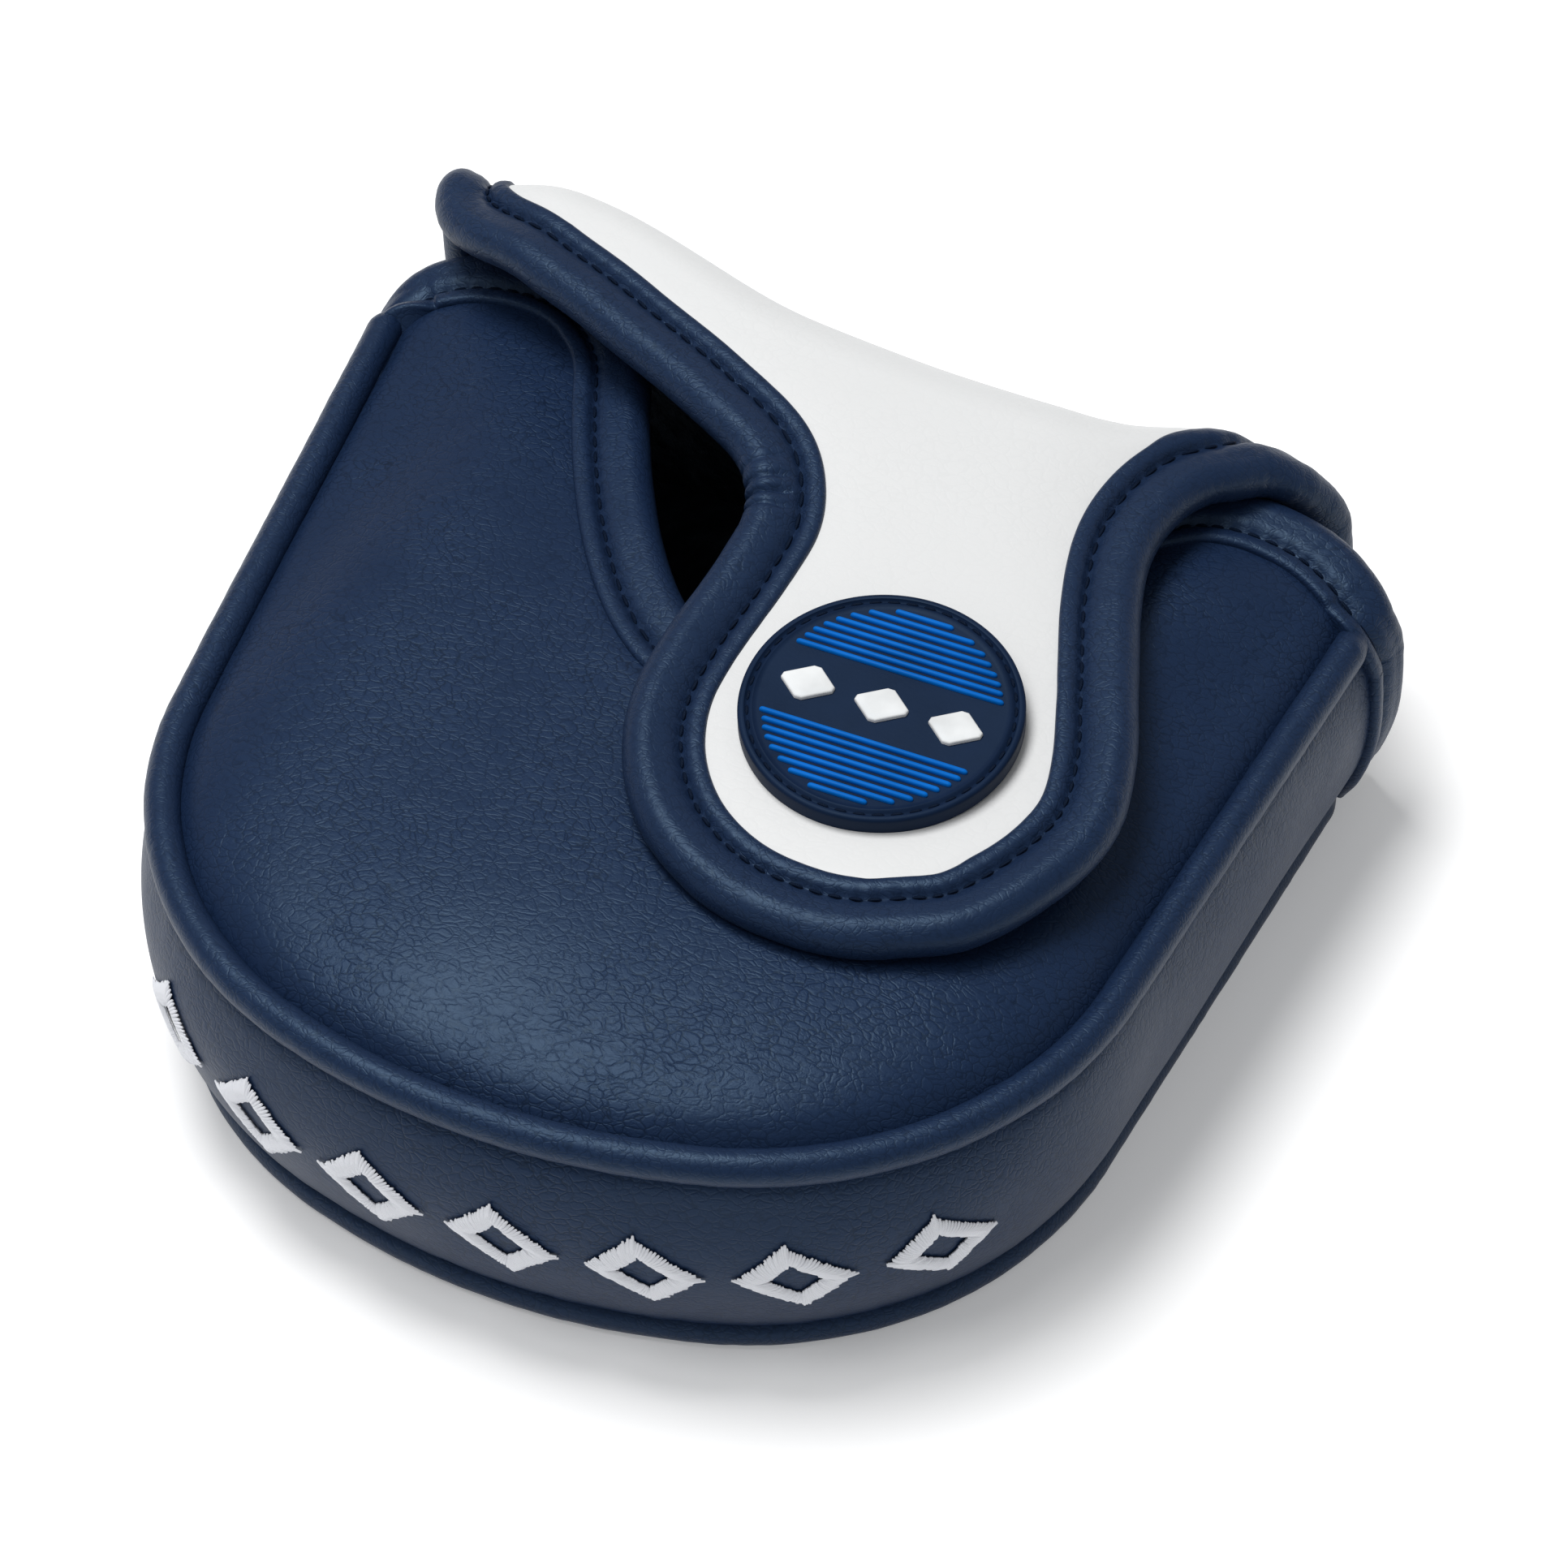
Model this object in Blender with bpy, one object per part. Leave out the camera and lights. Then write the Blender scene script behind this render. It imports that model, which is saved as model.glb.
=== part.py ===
"""Mallet putter head cover: a padded D-shaped pouch with a fold-over closing flap.

Frame: +Z up, resting on its bottom panel at z = 0; +Y points at the mouth, -Y at the rounded
nose, +X to the right. Everything below is written in millimetres and scaled by MM.
"""
import math

import bmesh
import bpy
import numpy as np
from mathutils import Vector
from mathutils.geometry import delaunay_2d_cdt

MM = 0.001
GAP = 0.30                 # clearance between neighbouring layers
DOME_GAP = 0.65            # clearance between the layers of the domed top

# Pouch outline (centre line of the top piping, seen from above)
HALF_WIDTH = 63.1          # half width at Y_OUTLINE
Y_OUTLINE = 46.0
FLARE_DEG = 5.5            # the sides close in towards the nose
CORNER_R = 46.0
NOSE_R = 83.0
Y_NOSE = -60.0

# Heights
SEAM_Z = 32.6              # top piping centre at y = 0
SEAM_SLOPE = -0.023        # the seam drops slightly towards the mouth
PIPING_R = 1.9
BOTTOM_Z = 2.2             # bottom piping centre
BOTTOM_INSET = 2.3         # bottom outline lies inside the top one
SIDE_BULGE = 4.2           # the side band swells outwards between the two seams

# Dome of the padded top
EDGE_RISE, EDGE_REACH = 4.2, 7.0
CROWN_RISE, CROWN_Y = 3.0, 8.0

# Layers: leather skin, foam, fleece lining
SKIN_T, FOAM_T, LINING_T = 1.0, 1.8, 0.8
FLAP_SKIN_T, FLAP_FOAM_T = 0.9, 1.2
SEAM_CLEAR = 2.3           # skins stop this far from a piping centre
INNER_CLEAR = 5.2          # foam and lining stop this far from it

# Mouth of the pouch with its neck notch
NOTCH_Y, NOTCH_CURVE = 0.9, 30.0     # stitched edge: y = NOTCH_Y + x^2 / NOTCH_CURVE
NOTCH_REACH = 33.0
BEAD_R = 2.75
CORD_R = 1.30              # filler cord inside the bead
BEAD_OFFSET = 6.2          # bead centre to the strip's stitched edge
FLANGE = 6.7               # bead centre to the strip's outer edge
INNER_FLANGE = 3.9         # the same on the lining side
INNER_BACK = 5.0           # foam and lining stop this far from the bead centre
MOUTH_SKEW = -0.042        # the mouth lies slightly askew to the pouch
BEAD_SINK = 1.6            # bead centre below the outer surface
EDGE_BACK = 3.6            # panels stop this far from the bead centre
FLAP_FLANGE = 5.4          # outer flange of the flap's binding
FLAP_EDGE_BACK = 6.0       # the flap's layers stop this far from its bead centre

# Flap
FLAP_HALF_T = 1.75
WALL_FOOT_Y, WALL_FOOT_Z = 65.0, 3.4
FOLD_Z = 31.0              # line on the wall where the top of the flap starts to turn over
HINGE_Y, HINGE_Z = 68.4, 1.5
FOLD_AXIS_Y = 68.2
FOLD_GAP = 1.6             # the stiff binding halves stop this far from the fold line
TONGUE_TIP_Z, TONGUE_SLOPE = 42.1, 0.078

# Badge
BADGE_X, BADGE_Y, BADGE_R, BADGE_T = 21.5, 1.25, 16.15, 2.2
BADGE_TILT_DEG = 4.6
RIB_W, RIB_PITCH, RIB_COUNT, RIB_H = 0.62, 1.13, 8, 0.5
RIB_FIRST = 5.25           # first rib, from the middle of the badge
LOZENGE_PITCH = 8.9

# Closure magnets, one in the tongue and one in the top
MAGNET_R, MAGNET_T = 5.0, 0.8
MAGNET_AT = (21.6, -6.0)

# Embroidered marks round the side band
MOTIF_COUNT, MOTIF_W, MOTIF_H = 7, 12.6, 11.5
MOTIF_Z = 18.4
MOTIF_FIRST, MOTIF_PITCH = -50.0, 15.7     # along the band from the nose, left is positive

NAVY = (0.012, 0.030, 0.085)
WHITE = (0.82, 0.83, 0.82)
BLUE = (0.010, 0.085, 0.42)
FLEECE = (0.006, 0.010, 0.025)
FOAM = (0.35, 0.35, 0.36)
STEEL = (0.45, 0.46, 0.48)


# ---------------------------------------------------------------- materials and meshes
def clear_scene():
    for obj in list(bpy.data.objects):
        bpy.data.objects.remove(obj, do_unlink=True)


def material(name, colour, roughness, metallic=0.0):
    mat = bpy.data.materials.new(name)
    mat.use_nodes = True
    shader = mat.node_tree.nodes["Principled BSDF"]
    shader.inputs["Base Color"].default_value = (*colour, 1.0)
    shader.inputs["Roughness"].default_value = roughness
    shader.inputs["Metallic"].default_value = metallic
    return mat


def add_object(name, verts, faces, look, parent=None):
    """One closed body from millimetre vertices; normals are turned outwards."""
    mesh = bpy.data.meshes.new(name)
    bm = bmesh.new()
    made = [bm.verts.new(Vector(v) * MM) for v in verts]
    for face in faces:
        bm.faces.new([made[i] for i in face])
    bmesh.ops.recalc_face_normals(bm, faces=bm.faces)
    bm.to_mesh(mesh)
    bm.free()
    mesh.shade_smooth()
    mesh.set_sharp_from_angle(angle=math.radians(40))
    obj = bpy.data.objects.new(name, mesh)
    bpy.context.scene.collection.objects.link(obj)
    mesh.materials.append(material(name, *look))
    if parent is not None:
        obj.parent = parent
        obj.matrix_parent_inverse = parent.matrix_world.inverted()
    return obj


def unit(v):
    v = np.asarray(v, float)
    return v / np.linalg.norm(v)


def tube(name, rings, look, parent=None):
    """A capped body through successive rings of points."""
    count = len(rings[0])
    verts = [p for ring in rings for p in ring]
    faces = []
    for i in range(len(rings) - 1):
        for j in range(count):
            k = (j + 1) % count
            faces.append((i * count + j, i * count + k, (i + 1) * count + k, (i + 1) * count + j))
    faces.append(tuple(range(count)))
    last = (len(rings) - 1) * count
    faces.append(tuple(range(last, last + count)))
    return add_object(name, verts, faces, look, parent)


def sweep(name, frames, section, look, parent=None):
    """Carry a closed section (u, v pairs) along frames of (point, u axis, v axis)."""
    rings = [[p + a * u + b * v for a, b in section] for p, u, v in frames]
    return tube(name, rings, look, parent)


def inside(poly, x, y):
    """Whether (x, y) lies in the polygon, by counting crossings."""
    hit = False
    for (x0, y0), (x1, y1) in zip(poly, np.roll(poly, -1, axis=0)):
        if (y0 > y) != (y1 > y) and x < x0 + (y - y0) * (x1 - x0) / (y1 - y0):
            hit = not hit
    return hit


def edge_distance(poly, x, y):
    p = np.array((x, y))
    a, b = poly, np.roll(poly, -1, axis=0)
    ab = b - a
    t = np.clip(((p - a) * ab).sum(1) / np.maximum((ab ** 2).sum(1), 1e-9), 0, 1)
    return float(np.sqrt((((a + t[:, None] * ab) - p) ** 2).sum(1).min()))


def sheet(name, outline, step, outer, inner, look, parent=None):
    """A closed sheet: a flat outline filled with a grid, laid on two surface functions."""
    poly = np.array(outline, float)
    low, high = poly.min(0), poly.max(0)
    points = [tuple(p) for p in poly]
    for x in np.arange(low[0] + step / 2, high[0], step):
        for y in np.arange(low[1] + step / 2, high[1], step):
            if inside(poly, x, y) and edge_distance(poly, x, y) > step * 0.45:
                points.append((x, y))
    rim = len(poly)
    flat, _, tris = delaunay_2d_cdt([Vector(p) for p in points], [],
                                    [tuple(range(rim))], 1, 1e-6)[:3]
    count = len(flat)
    verts = [outer(p[0], p[1]) for p in flat] + [inner(p[0], p[1]) for p in flat]
    faces, used = [], {}
    for tri in tris:
        faces.append(tuple(tri))
        faces.append(tuple(i + count for i in reversed(tri)))
        for a, b in zip(tri, tri[1:] + tri[:1]):
            used[(a, b)] = True
    for a, b in used:
        if (b, a) not in used:
            faces.append((b, a, a + count, b + count))
    return add_object(name, verts, faces, look, parent)


def spline(points, per_span):
    """Catmull-Rom curve through the points."""
    pts = [2 * np.array(points[0], float) - points[1]] + [np.array(p, float) for p in points]
    pts.append(2 * pts[-1] - pts[-2])
    out = []
    for i in range(1, len(pts) - 2):
        p0, p1, p2, p3 = pts[i - 1:i + 3]
        for k in range(per_span):
            t = k / per_span
            out.append(0.5 * (2 * p1 + (p2 - p0) * t + (2 * p0 - 5 * p1 + 4 * p2 - p3) * t ** 2
                              + (3 * p1 - p0 - 3 * p2 + p3) * t ** 3))
    out.append(pts[-2])
    return np.array(out)


def evenly(points, count):
    points = np.asarray(points, float)
    length = np.concatenate([[0], np.cumsum(np.linalg.norm(np.diff(points, axis=0), axis=1))])
    at = np.linspace(0, length[-1], count)
    return np.stack([np.interp(at, length, points[:, k]) for k in range(points.shape[1])], 1)


def smooth(t):
    t = min(max(t, 0.0), 1.0)
    return t * t * (3 - 2 * t)


# ---------------------------------------------------------------- pouch surfaces
def half_outline(y_end, inset=0.0, fine=40):
    """Right half of the D from the mouth to the nose: a flared side, a corner arc, a nose arc."""
    lean = math.radians(FLARE_DEG)
    inward = np.array([-math.cos(lean), math.sin(lean)])
    along = np.array([-math.sin(lean), -math.cos(lean)])
    start = np.array([HALF_WIDTH, Y_OUTLINE]) + inset * inward
    corner_r, nose_r = CORNER_R - inset, NOSE_R - inset
    nose_c = np.array([0.0, Y_NOSE + NOSE_R])
    rel = start + corner_r * inward - nose_c
    mid = rel @ along
    run = -mid + math.sqrt(max(mid * mid - rel @ rel + (nose_r - corner_r) ** 2, 0.0))
    corner_c = start + run * along + corner_r * inward
    first = start + along * (start[1] - y_end) / math.cos(lean)
    last = start + run * along
    a0 = math.atan2(-inward[1], -inward[0])
    a1 = math.atan2(*(corner_c - nose_c)[::-1])
    line = [first + (last - first) * k / fine for k in range(fine)]
    arc = [corner_c + corner_r * np.array([math.cos(a), math.sin(a)])
           for a in np.linspace(a0, a1, fine, endpoint=False)]
    nose = [nose_c + nose_r * np.array([math.cos(a), math.sin(a)])
            for a in np.linspace(a1, -math.pi / 2, fine)]
    return np.array(line + arc + nose)


def outline(y_end, inset=0.0, count=40):
    """The whole open D, right mouth end to left mouth end, in `count` even steps."""
    half = half_outline(y_end, inset)
    full = np.concatenate([half, (half[::-1] * [-1, 1])[1:]])
    return evenly(full, count)


RIM = outline(70.0, 0.0, 160)


def rim_distance(x, y):
    a, ab = RIM[:-1], np.diff(RIM, axis=0)
    p = np.array((x, y))
    t = np.clip(((p - a) * ab).sum(1) / (ab ** 2).sum(1), 0, 1)
    return float(np.sqrt((((a + t[:, None] * ab) - p) ** 2).sum(1).min()))


def seam_z(y):
    return SEAM_Z + SEAM_SLOPE * y


def top_z(x, y):
    edge = EDGE_RISE * (1 - math.exp(-rim_distance(x, y) / EDGE_REACH))
    crown = CROWN_RISE * (1 - (x / HALF_WIDTH) ** 2) * (1 - ((y - CROWN_Y) / 68.0) ** 2)
    return seam_z(y) + edge + max(crown, 0.0)


def side_offset(t):
    """How far the outer skin of the side lies outside the top outline, at height share t."""
    return -BOTTOM_INSET * (1 - t) + SIDE_BULGE * math.sin(math.pi * min(max(t, 0), 1)) ** 0.8


def side_share(y, z):
    return (z - BOTTOM_Z) / (seam_z(y) - BOTTOM_Z)


def outline_frames(path):
    """(point, outward normal) along an open D."""
    run = np.gradient(path, axis=0)
    out = []
    for p, d in zip(path, run):
        n = unit((-d[1], d[0]))
        if n @ (p - np.array((0.0, 0.0))) < 0:
            n = -n
        out.append((p, n))
    return out


# ---------------------------------------------------------------- pouch pieces
def top_layer(name, depth, thick, clear, back, look):
    y_mouth = 44.0
    rim = [tuple(p) for p in outline(y_mouth, clear, 30)]
    edge = mouth_edge_plan(back)
    left = [p for p in edge if p[1] > y_mouth or abs(p[0]) < 45]
    ring = rim + [(p[0], p[1]) for p in left]
    return sheet(name, ring, 8.5,
                 lambda x, y: (x, y, top_z(x, y) - depth),
                 lambda x, y: (x, y, top_z(x, y) - depth - thick), look)


def bottom_layer(name, z0, thick, clear, y_end, look):
    rim = [tuple(p) for p in outline(y_end, BOTTOM_INSET + clear, 34)]
    return sheet(name, rim, 14.0, lambda x, y: (x, y, z0 + thick), lambda x, y: (x, y, z0), look)


def side_layer(name, depth, thick, t0, t1, y_end, look):
    path = outline(y_end, 0.0, 29)
    rows = 6
    shares = np.linspace(t0, t1, rows)
    frames, sections = outline_frames(path), []
    verts, faces = [], []
    for p, n in frames:
        ring = []
        for side in (0, 1):
            for t in (shares if side == 0 else shares[::-1]):
                off = side_offset(t) - depth - side * thick
                z = BOTTOM_Z + t * (seam_z(p[1]) - BOTTOM_Z)
                ring.append((p[0] + n[0] * off, p[1] + n[1] * off, z))
        verts += ring
    count = 2 * rows
    for i in range(len(frames) - 1):
        for j in range(count):
            k = (j + 1) % count
            faces.append((i * count + j, i * count + k, (i + 1) * count + k, (i + 1) * count + j))
    for base in (0, (len(frames) - 1) * count):
        for j in range(rows - 1):
            faces.append((base + j, base + j + 1, base + count - 2 - j, base + count - 1 - j))
    return add_object(name, verts, faces, look)


def ring_section(radius, sides, phase=0.0):
    return [(radius * math.cos(phase + 2 * math.pi * k / sides),
             radius * math.sin(phase + 2 * math.pi * k / sides)) for k in range(sides)]


def split_tube(radius, wall, sides, mouth_deg):
    """A tube wall in section, slit towards +u so that its inside stays open."""
    half = math.radians(mouth_deg / 2)
    angles = np.linspace(half, 2 * math.pi - half, sides)
    outer = [(radius * math.cos(a), radius * math.sin(a)) for a in angles]
    inner = [((radius - wall) * math.cos(a), (radius - wall) * math.sin(a)) for a in angles[::-1]]
    return outer + inner


def piping(name, inset, height, y_end, look, cord_look):
    """Covered piping: a slit leather tube around a filler cord."""
    frames = []
    for p, n in outline_frames(outline(y_end, inset, 27)):
        point = np.array((p[0], p[1], height(p[1])))
        frames.append((point, np.array((-n[0], -n[1], 0.0)), np.array((0.0, 0.0, 1.0))))
    sweep(name, frames, split_tube(PIPING_R, 0.6, 7, 40), look)
    sweep(name + "_cord", frames, ring_section(PIPING_R - 0.6 - GAP, 5), cord_look)


# ---------------------------------------------------------------- mouth binding
def mouth_path_top():
    """Bead centre line seen from above: notch, ear and shoulder of the right half."""
    notch = []
    for x in np.linspace(0.0, NOTCH_REACH, 9):
        n = unit((-2 * x / NOTCH_CURVE, 1.0))
        notch.append(np.array((x, NOTCH_Y + x * x / NOTCH_CURVE)) + BEAD_OFFSET * n)
    ear = [np.array(p, float) for p in ((31.5, 49.2), (35.8, 54.4), (40.8, 57.8), (47.5, 59.3),
                                 (54.8, 58.6), (60.6, 56.0))]
    return notch + ear


def mouth_frames(count=42):
    """Frames of the mouth bead: u runs into the panel, v is the outward surface normal."""
    top = [(p[0], p[1], top_z(p[0], p[1]) - BEAD_SINK) for p in mouth_path_top()]
    side = []
    for y, z in ((53.2, 28.8), (51.4, 23.0), (50.9, 16.5), (51.4, 10.0), (52.6, 5.6)):
        x = HALF_WIDTH + math.tan(math.radians(FLARE_DEG)) * (y - Y_OUTLINE)
        side.append((x + side_offset(side_share(y, z)) - BEAD_SINK, y, z))
    half = spline(top + side, 6)
    full = evenly(np.concatenate([(half[::-1] * [-1, 1, 1])[:-1], half]), count)
    full[:, 1] += MOUTH_SKEW * full[:, 0] * np.array([smooth((z - 25) / 7) for z in full[:, 2]])
    run = np.gradient(full, axis=0)
    frames = []
    for p, d in zip(full, run):
        d = unit(d)
        drop = smooth((33.8 - p[2]) / 5.0) if abs(p[0]) > 55 else 0.0
        plan = unit((d[1], -d[0])) if np.hypot(d[0], d[1]) > 1e-6 else np.array((0.0, -1.0))
        into = np.array((plan[0], plan[1], 0.0)) * (1 - drop) + np.array((0.0, -1.0, 0.0)) * drop
        if drop < 0.5:
            q = p[:2] + 5 * plan
            into[2] += (1 - drop) * (top_z(*q) - top_z(p[0], p[1])) / 5
        u = unit(into - d * (into @ d))
        v = unit(np.cross(u, d))
        away = np.array((0.0, 0.0, 1.0)) * (1 - drop) + np.array((np.sign(p[0]), 0, 0)) * drop
        frames.append((p, u, v if v @ away > 0 else -v))
    return frames


def mouth_edge_plan(back):
    """Plan line where the top layers stop, left shoulder to right shoulder."""
    out = []
    for p, u, v in mouth_frames(50):
        if v[2] > 0.90:
            out.append((p[0] + back * u[0], p[1] + back * u[1]))
    return out


def binding_section(outer_v, inner_v, reach=FLANGE):
    """A leather strip folded round a cord: bead at the edge, a flange on each face."""
    wall = 0.8
    angles = np.radians(np.linspace(64, 296, 6))
    bead = [(BEAD_R * math.cos(a), BEAD_R * math.sin(a)) for a in angles]
    core = [((BEAD_R - wall) * math.cos(a), (BEAD_R - wall) * math.sin(a)) for a in angles[::-1]]
    outer = [(2.9, outer_v), (reach, outer_v), (reach, outer_v + wall)]
    inner = [(INNER_FLANGE, inner_v - wall), (INNER_FLANGE, inner_v), (2.9, inner_v)]
    return outer + bead + inner + core


# ---------------------------------------------------------------- flap surface
def station(x, table):
    """Smooth monotone interpolation in a short table of (x, value) stations."""
    rise = [(v1 - v0) / (x1 - x0) for (x0, v0), (x1, v1) in zip(table, table[1:])]
    slope = [2 * a * b / (a + b) if a * b > 0 else 0.0 for a, b in zip(rise, rise[1:])]
    slope = [0.0] + slope + [0.0]
    x = min(max(x, table[0][0]), table[-1][0])
    k = max(i for i in range(len(table) - 1) if table[i][0] <= x)
    (x0, v0), (x1, v1) = table[k:k + 2]
    t = (x - x0) / (x1 - x0)
    return (v0 * (1 + 2 * t) * (1 - t) ** 2 + v1 * t * t * (3 - 2 * t)
            + (x1 - x0) * (slope[k] * t * (1 - t) ** 2 - slope[k + 1] * t * t * (1 - t)))


CROWN_TOP = ((-62, 45.0), (-44, 48.5), (-14, 48.5), (20, 46.4), (33, 44.6),
             (41, 42.7), (45, 40.8), (49, 38.4), (53, 35.6), (60, 33.0))
WALL_BACK = ((-50, 68.2), (-11, 61.0), (8, 60.1), (29, 61.2), (47, 66.8))
CROWN_R = ((-40, 6.5), (-8, 10.5), (24, 10.5), (40, 6.5))


def flap_profile(x):
    """Mid-line of the flap at this x: wall top, crown centre and crown radius."""
    radius = station(x, CROWN_R) - FLAP_HALF_T
    back = station(x, WALL_BACK) - FLAP_HALF_T
    top = station(x, CROWN_TOP) - FLAP_HALF_T
    return back, back - radius, top - radius, radius, top


def lie_z(x, y):
    """Height of the flap's mid-surface forward of its crown."""
    back, yc, zc, radius, top = flap_profile(x)
    rest = TONGUE_TIP_Z + 2.9 * (1 - math.exp(-max(y + 27.0, 0) * TONGUE_SLOPE / 2.9 * 1.25))
    return rest + (top - rest) * smooth((y - 8.0) / (yc - 8.0))


def flap_mid(x, s):
    """Point of the flap's mid-surface; s runs up the wall to FOLD_Z, over the crown, forward."""
    back, yc, zc, radius, top = flap_profile(x)
    if s <= zc:
        share = smooth((s - WALL_FOOT_Z) / max(zc - WALL_FOOT_Z, 1))
        return np.array((x, WALL_FOOT_Y + (back - WALL_FOOT_Y) * share, s))
    turn = (s - zc) / radius
    if turn <= math.pi / 2:
        return np.array((x, yc + radius * math.cos(turn), zc + radius * math.sin(turn)))
    y = yc - (s - zc - radius * math.pi / 2)
    return np.array((x, y, lie_z(x, y)))


def flap_point(x, s, depth):
    """Point at `depth` from the mid-surface, positive outwards."""
    p = flap_mid(x, s)
    ds = flap_mid(x, s + 0.4) - flap_mid(x, s - 0.4)
    dx = flap_mid(x + 0.4, s) - flap_mid(x - 0.4, s)
    n = unit(np.cross(dx, ds))
    if n[1] + n[2] < 0:
        n = -n
    return p + depth * n


def flap_s(x, y):
    """Sheet coordinate of the point of the top of the flap above (x, y)."""
    back, yc, zc, radius, top = flap_profile(x)
    return zc + radius * math.pi / 2 + yc - y


def flap_edge():
    """Bead centre line of the flap in sheet coordinates (x, s), left foot to right foot."""
    left_wall = [(-57.0, WALL_FOOT_Z + 1.5), (-59.0, 16.0), (-60.3, 29.0), (-60.4, 40.0)]
    left_wing = ((-57.2, 58.8), (-46.4, 53.3), (-32.0, 47.0), (-18.8, 40.6), (-7.9, 34.2),
                 (-3.0, 26.2), (-2.7, 18.0))
    tongue = ((-4.0, 3.6), (-3.7, -5.4), (-0.7, -13.9), (5.1, -21.1), (13.2, -25.8),
              (22.2, -27.3), (32.4, -25.3), (40.2, -21.1), (45.7, -12.8), (48.6, -3.8),
              (47.4, 5.5))
    right = ((43.5, 16.8), (39.5, 28.1), (37.2, 38.3), (37.6, 46.4), (39.8, 52.8), (42.6, 56.4))
    over = [(x, flap_s(x, y)) for x, y in left_wing + tongue + right]
    right_wall = [(45.4, 41.6), (48.6, 37.4), (51.0, 33.6), (52.8, 29.8), (53.6, 25.0),
                  (53.8, 18.0), (53.8, WALL_FOOT_Z + 1.5)]
    return spline(left_wall + over + right_wall, 5)


def inset_step(x, s, dx, ds):
    """Sheet-coordinate step that moves one millimetre inwards, square to the edge in space."""
    ex = (flap_mid(x + 0.4, s) - flap_mid(x - 0.4, s)) / 0.8
    es = (flap_mid(x, s + 0.4) - flap_mid(x, s - 0.4)) / 0.8
    e, f, g = ex @ ex, ex @ es, es @ es
    a, b = f * dx + g * ds, -(e * dx + f * ds)
    return np.array((a, b)) / math.sqrt(max(e * a * a + 2 * f * a * b + g * b * b, 1e-12))


def inset(point, run, distance):
    """A point of the edge moved over the sheet to the inside of the flap."""
    half = point + 0.5 * distance * inset_step(*point, *run)
    return point + distance * inset_step(*half, *run)


def flap_strip(name, curve, count, section, look, parent):
    """Sweep a section along a run of the flap's edge, bent with the sheet it borders."""
    path = evenly(curve, count)
    run = np.gradient(path, axis=0)
    for end in (0, -1):
        run[end] = (0.0, math.copysign(1.0, run[end][1]))
    frames = []
    for at, along in zip(path, run):
        frames.append([flap_point(*inset(at, along, a), b) for a, b in section])
    return tube(name, frames, look, parent)


def offset_plan(curve, distance):
    """A sheet-coordinate curve moved to the inside of the flap."""
    run = np.gradient(curve, axis=0)
    return np.array([inset(c, d, distance) for c, d in zip(curve, run)])


def split_edge():
    """The edge in three runs: left wall, top of the flap, right wall, cut at the fold line."""
    edge = flap_edge()
    first = next(i for i, p in enumerate(edge) if p[1] > FOLD_Z)
    last = len(edge) - next(i for i, p in enumerate(edge[::-1]) if p[1] > FOLD_Z)
    return edge, first, last


def at_height(a, b, s):
    t = (s - a[1]) / (b[1] - a[1])
    return a + t * (b - a)


def beyond(curve, cut, side):
    """The run of a curve on one side of the fold line, with its ends put on that line."""
    keep = [p for p in curve if (p[1] - cut) * side > 0.3]
    first = (np.array((keep[0][0], cut)), np.array((keep[-1][0], cut)))
    return keep, first


def flap_ring(part, back, half):
    """Outline of one flap layer in sheet coordinates, `back` inside the bead's centre line."""
    edge, first, last = split_edge()
    if part == "tongue":
        keep, ends = beyond(offset_plan(edge, back)[first - 3:last + 3], FOLD_Z + half, 1)
        return evenly(np.vstack([ends[0], keep, ends[1]]), 60)
    cut = FOLD_Z - half
    sides = []
    for run, top in ((edge[:first + 1], -1), (edge[last - 1:], 0)):
        keep, ends = beyond(offset_plan(run, back), cut, -1)
        foot = keep[0] if top else keep[-1]
        foot[1] = WALL_FOOT_Z
        sides.append(np.vstack([keep, ends[1]] if top else [ends[0], keep]))
    return np.vstack([evenly(sides[0], 8), evenly(sides[1], 8)])


def flap_layers(part, parent, white_look, navy_look, foam_look):
    skin_in = FLAP_HALF_T - FLAP_SKIN_T
    foam_out = skin_in - GAP
    foam_in = foam_out - FLAP_FOAM_T
    lining_out = foam_in - GAP
    ring = flap_ring(part, FLAP_EDGE_BACK, 0.4)
    for kind, out, inn, look in (("panel", FLAP_HALF_T, skin_in, white_look),
                                 ("padding", foam_out, foam_in, foam_look),
                                 ("lining", lining_out, -FLAP_HALF_T, navy_look)):
        sheet("flap_%s_%s" % (part, kind), ring, 7.0,
              lambda x, s, d=out: flap_point(x, s, d),
              lambda x, s, d=inn: flap_point(x, s, d), look, parent)


def flap_bindings(wall_body, tongue_body, look, cord_look):
    edge, first, last = split_edge()
    half = FOLD_GAP
    runs = (("flap_binding_left", np.vstack([edge[:first], at_height(edge[first - 1], edge[first],
                                                                     FOLD_Z - half)]), 8, wall_body),
            ("flap_binding_top", np.vstack([at_height(edge[first - 1], edge[first], FOLD_Z + half),
                                            edge[first:last],
                                            at_height(edge[last - 1], edge[last],
                                                      FOLD_Z + half)]), 54, tongue_body),
            ("flap_binding_right", np.vstack([at_height(edge[last - 1], edge[last], FOLD_Z - half),
                                              edge[last:]]), 8, wall_body))
    section = binding_section(FLAP_HALF_T - 0.2, 0.2 - FLAP_HALF_T, FLAP_FLANGE)
    for name, curve, count, body in runs:
        flap_strip(name, curve, count, section, look, body)
        flap_strip(name + "_cord", curve, count, ring_section(CORD_R, 6), cord_look, body)


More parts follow.
